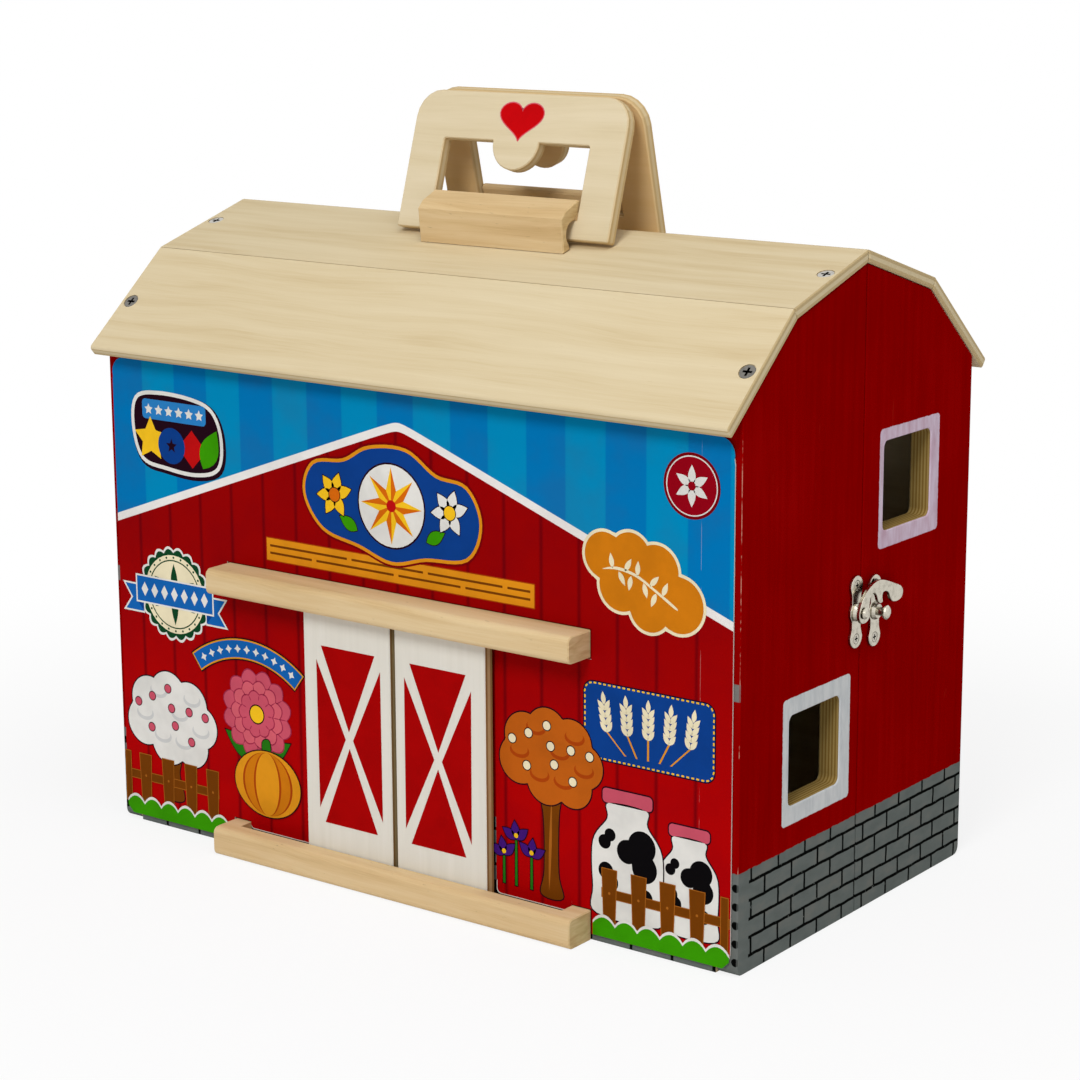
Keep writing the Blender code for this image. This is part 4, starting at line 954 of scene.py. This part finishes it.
def print_flowers():
    """Prints a pink double flower and an orange pumpkin left of the doors, and irises right of them."""
    flower = on_card("card_pink_flower")
    x, z = -84.0, 64.5
    flower.drawn([(x - 1.2, 26), (x + 1.2, 26), (x + 1.0, z), (x - 1.0, z)], "leaf", 4, 0.45)
    for way in (-1, 1):
        flower.drawn(leaf(x, 42, 23.0, 9.0, 90 - way * 58), "leaf", 4, 0.45)
    rings = ((20.5, 12, "rose", 6), (15.4, 11, "pink", 8), (10.6, 9, "rose", 10))
    for radius, petals, colour, layer in rings:
        flower.add(scalloped(x, z, radius + 0.6, radius * 0.14, petals, 6), "deep_rose", layer)
        flower.add(scalloped(x, z, radius, radius * 0.14, petals, 6), colour, layer + 1)
        for step in range(petals):
            angle = 360 / petals * step
            crease = leaf(*spoke(x, z, radius * 0.62, angle), radius * 0.26, 0.5, angle)
            flower.add(crease, "deep_rose", layer + 2)
    flower.add(circle(x, z, 4.6, 24), "line", 13)
    flower.add(circle(x, z, 4.0, 24), "yellow", 14)
    flower.lay()

    pumpkin = on_card("card_pumpkin")
    x, z, radius = -78.5, 33.0, 19.6
    pumpkin.drawn(smooth([(-1.6, 10), (-2.6, 19), (1.8, 20), (2.0, 10)], x, z), "leaf", 16, 0.45)
    pumpkin.drawn(circle(x, z, radius, 40, 0.78), "gold", 18)
    ribs = ((0.76, "rust"), (0.7, "badge"), (0.42, "rust"), (0.36, "gold"))
    for layer, (share, colour) in enumerate(ribs, 20):
        rib = [(x + (p.x - x) * share, z + (p.y - z) * 0.97) for p in circle(x, z, radius, 40, 0.77)]
        pumpkin.add(rib, colour, layer)
    pumpkin.lay()

    irises = on_card("card_irises")
    for x, z, tilt in ((61.0, 36.0, 6), (69.0, 30.0, -5), (54.6, 28.0, 10)):
        irises.drawn([(x - 0.6, 15.6), (x + 0.6, 15.6), (x + 0.5, z), (x - 0.5, z)], "leaf", 8, 0.4)
        for angle in (35, 90, 145):
            irises.drawn(leaf(x, z, 8.0, 4.2, angle + tilt), "purple", 10, 0.4)
        irises.add(circle(x, z + 1.6, 1.1, 12), "yellow", 12)
    irises.lay()


def print_churns():
    """Prints two patched milk churns behind the right fence."""
    churns = on_card("card_milk_churns")
    foot = 13.0
    profile = ((-0.9, 0.0), (-1.0, 0.2), (-1.0, 0.55), (-0.58, 0.74), (-0.54, 0.86))
    patches = (
        ((0.0, 0.52, 0.3), (0.42, 0.58, 0.4), (0.5, 0.42, 0.36)),
        ((-0.62, 0.34, 0.22), (-0.5, 0.26, 0.24)),
        ((0.3, 0.16, 0.2), (0.52, 0.2, 0.22)),
        ((-0.66, 0.56, 0.18), (-0.5, 0.62, 0.16)),
    )
    for x, wide, high, layer in ((147.5, 13.6, 47.0, 1), (117.5, 17.0, 56.0, 5)):
        outline = [(x + a * wide, foot + b * high) for a, b in profile]
        outline += [(2 * x - a, b) for a, b in outline[::-1]]
        churns.drawn(smooth(outline), "white", layer, 0.6)
        lid = block(x - 0.72 * wide, foot + 0.86 * high, x + 0.72 * wide, foot + 0.97 * high, 1.8)
        churns.drawn(lid, "rose", layer, 0.6)
        for patch in patches:
            circles = [(x + a * wide, foot + b * high, radius * wide) for a, b, radius in patch]
            churns.add(puffs(circles, 48), "black", layer + 2)
    churns.lay()


def print_panel():
    """Prints a blue panel with a stitched border and ears of wheat."""
    panel = on_card("card_wheat_panel")
    x0, z0, x1, z1 = 95.9, 78.7, 159.2, 110.9
    panel.add(block(x0 - 0.5, z0 - 0.5, x1 + 0.5, z1 + 0.5, 5.0), "line", 1)
    panel.add(block(x0, z0, x1, z1, 4.6), "blue", 2)
    outline = block(x0 + 0.5, z0 + 0.5, x1 - 0.5, z1 - 0.5, 4.3, 8)
    lengths = [(b - a).length for a, b in zip(outline, outline[1:] + outline[:1])]
    stitches = 76
    pace = sum(lengths) / stitches
    for index in range(stitches):
        wanted = pace * index
        for a, b, length in zip(outline, outline[1:] + outline[:1], lengths):
            if wanted <= length:
                break
            wanted -= length
        way = (b - a).normalized()
        start = a + way * wanted
        panel.add(bar(start, start + way * (pace * 0.55), Vector((way.y, -way.x)) * 0.35), "yellow", 3)
    middle = 127.5
    for offset, tilt in ((-20, 8), (-10, 4), (0, 0), (10, -4), (20, -8)):
        foot = Vector((middle + offset * 0.55, z0 + 3.5))
        head = Vector((middle + offset, z0 + 12.0))
        panel.add(bar(foot, head, Vector((0.45, 0))), "gold", 4)
        for row in range(4):
            base = spoke(*head, row * 3.0, 90 + tilt)
            for lean in (-34, 34):
                panel.add(leaf(*base, 5.4, 2.3, 90 + tilt + lean), "cream", 5)
        panel.add(leaf(*spoke(*head, 11.4, 90 + tilt), 5.6, 2.3, 90 + tilt), "cream", 5)
    panel.lay()


def paint_doors():
    """Paints four red triangles on each door, which leave a white cross between them."""
    triangles = (
        ((9.6, 104.7), (39.8, 104.7), (24.7, 68.3)),
        ((9.4, 25.0), (39.2, 25.0), (24.5, 61.0)),
        ((6.6, 98.3), (6.4, 31.2), (22.5, 64.8)),
        ((42.6, 98.2), (42.2, 31.2), (26.6, 64.6)),
    )
    for name, way in (("left_door", -1), ("right_door", 1)):
        paint = Print(f"{name}_cross_paint", at(0, DOOR_FACE, 0), (0, 0, 1), name, "white_paint")
        for triangle in triangles:
            paint.add([(way * x, z) for x, z in triangle], "door_red")
        paint.lay()


def paint_heart():
    """Paints the heart on the front handle's outer face."""
    up = Vector((0, math.sin(FRONT_LEAN), math.cos(FRONT_LEAN)))
    out = Vector((0, -math.cos(FRONT_LEAN), math.sin(FRONT_LEAN)))
    face = at(0, -HANDLE_AXIS[0], HANDLE_AXIS[1]) + out * (HANDLE_THICKNESS / 2 * MM)
    heart = Print("front_handle_heart", face, up, "front_handle", "handle_ply")
    steps = 48
    points = []
    for step in range(steps):
        t = 2 * math.pi * step / steps
        across = 11.6 * math.sin(t) ** 3
        high = 0.57 * (13 * math.cos(t) - 5 * math.cos(2 * t) - 2 * math.cos(3 * t) - math.cos(4 * t))
        points.append((1.0 + across, 46.4 + high))
    heart.drawn(points, "heart_red", 0, 0.5, "pink")
    heart.lay()


# Studio

def add_area(name, place, size, power):
    """Adds a soft lamp that faces the barn's middle."""
    light = bpy.data.lights.new(name, "AREA")
    light.shape = "RECTANGLE"
    light.size, light.size_y = size
    light.energy = power
    turn = (Vector(place) - Vector((0, 0, 0.13))).to_track_quat("Z", "Y").to_matrix().to_4x4()
    put(name, light).matrix_world = Matrix.Translation(place) @ turn


def seen_rays(nodes):
    """Returns a mask that is 1 where the camera, a reflection or a clear piece shows the background."""
    rays = nodes.add("LightPath", {}).outputs
    return nodes.either(rays["Is Camera Ray"], rays["Is Glossy Ray"], rays["Is Transmission Ray"])


def build_studio():
    """Makes the white world, the white floor and the soft lamps."""
    world = bpy.data.worlds.new("studio")
    bpy.context.scene.world = world
    world.use_nodes = True
    nodes = Nodes(world.node_tree)
    ambient = world.node_tree.nodes["Background"]
    ambient.inputs["Color"].default_value = (1, 1, 1, 1)
    ambient.inputs["Strength"].default_value = 0.34
    white = nodes.add("Background", {"Color": (1, 1, 1, 1), "Strength": 1.0})
    mixed = nodes.add("MixShader", {0: seen_rays(nodes), 1: ambient.outputs[0], 2: white.outputs[0]})
    nodes.feed(world.node_tree.nodes["World Output"].inputs["Surface"], mixed.outputs[0])

    mesh = bpy.data.meshes.new("studio_floor")
    reach = 6.0
    corners = [(-reach, -reach, 0), (reach, -reach, 0), (reach, reach, 0), (-reach, reach, 0)]
    mesh.from_pydata(corners, [], [(0, 1, 2, 3)])
    floor = put("studio_floor", mesh)
    look = bpy.data.materials.new("studio_floor_white")
    look.use_nodes = True
    nodes = Nodes(look.node_tree)
    shader = look.node_tree.nodes["Principled BSDF"]
    shader.inputs["Base Color"].default_value = (0.9, 0.9, 0.9, 1)
    shader.inputs["Roughness"].default_value = 0.9
    place = nodes.add("TexCoord", {}).outputs["Object"]
    away = nodes.add("VectorMath", {0: place}, operation="LENGTH").outputs["Value"]
    share = seen_rays(nodes) * nodes.rise(away, 0.2, 0.6, 0.82, 1.0)
    glow = nodes.add("Emission", {"Strength": 1.0})
    mixed = nodes.add("MixShader", {0: share, 1: shader.outputs[0], 2: glow.outputs[0]})
    nodes.feed(look.node_tree.nodes["Material Output"].inputs["Surface"], mixed.outputs[0])
    mesh.materials.append(look)

    add_area("key_lamp", (0.5, -1.85, 1.7), (0.8, 0.8), 28)
    add_area("top_lamp", (0.6, -0.4, 2.1), (1.0, 1.0), 11)
    add_area("side_lamp", (2.1, -0.2, 0.9), (0.9, 1.2), 4)


def add_camera():
    """Adds the camera that matches the photograph."""
    data = bpy.data.cameras.new("camera")
    data.sensor_width = 36.0
    data.sensor_fit = "HORIZONTAL"
    data.lens = CAMERA_LENS
    data.shift_x, data.shift_y = CAMERA_SHIFT
    data.clip_start = 0.01
    data.clip_end = 50.0
    camera = put("camera", data)
    turn = Matrix.Rotation(CAMERA_YAW, 4, "Z") @ Matrix.Rotation(math.pi / 2 - CAMERA_PITCH, 4, "X")
    turn = turn @ Matrix.Rotation(CAMERA_ROLL, 4, "Z")
    camera.matrix_world = Matrix.Translation(at(*CAMERA_PLACE)) @ turn
    bpy.context.scene.camera = camera


finish_frame()
print_card_edges()
print_grass_and_fence()
print_planks()
print_sign()
print_badges()
print_rosette()
print_tree("blossom", -137.0, 51.0, 1.0, "white", "blossom", "rose")
print_tree("autumn", 79.0, 73.0, 0.94, "autumn", "rust", "cream")
print_flowers()
print_churns()
print_panel()
paint_doors()
paint_heart()
build_studio()
add_camera()
bpy.context.scene.view_settings.view_transform = "Standard"

bpy.context.view_layer.update()
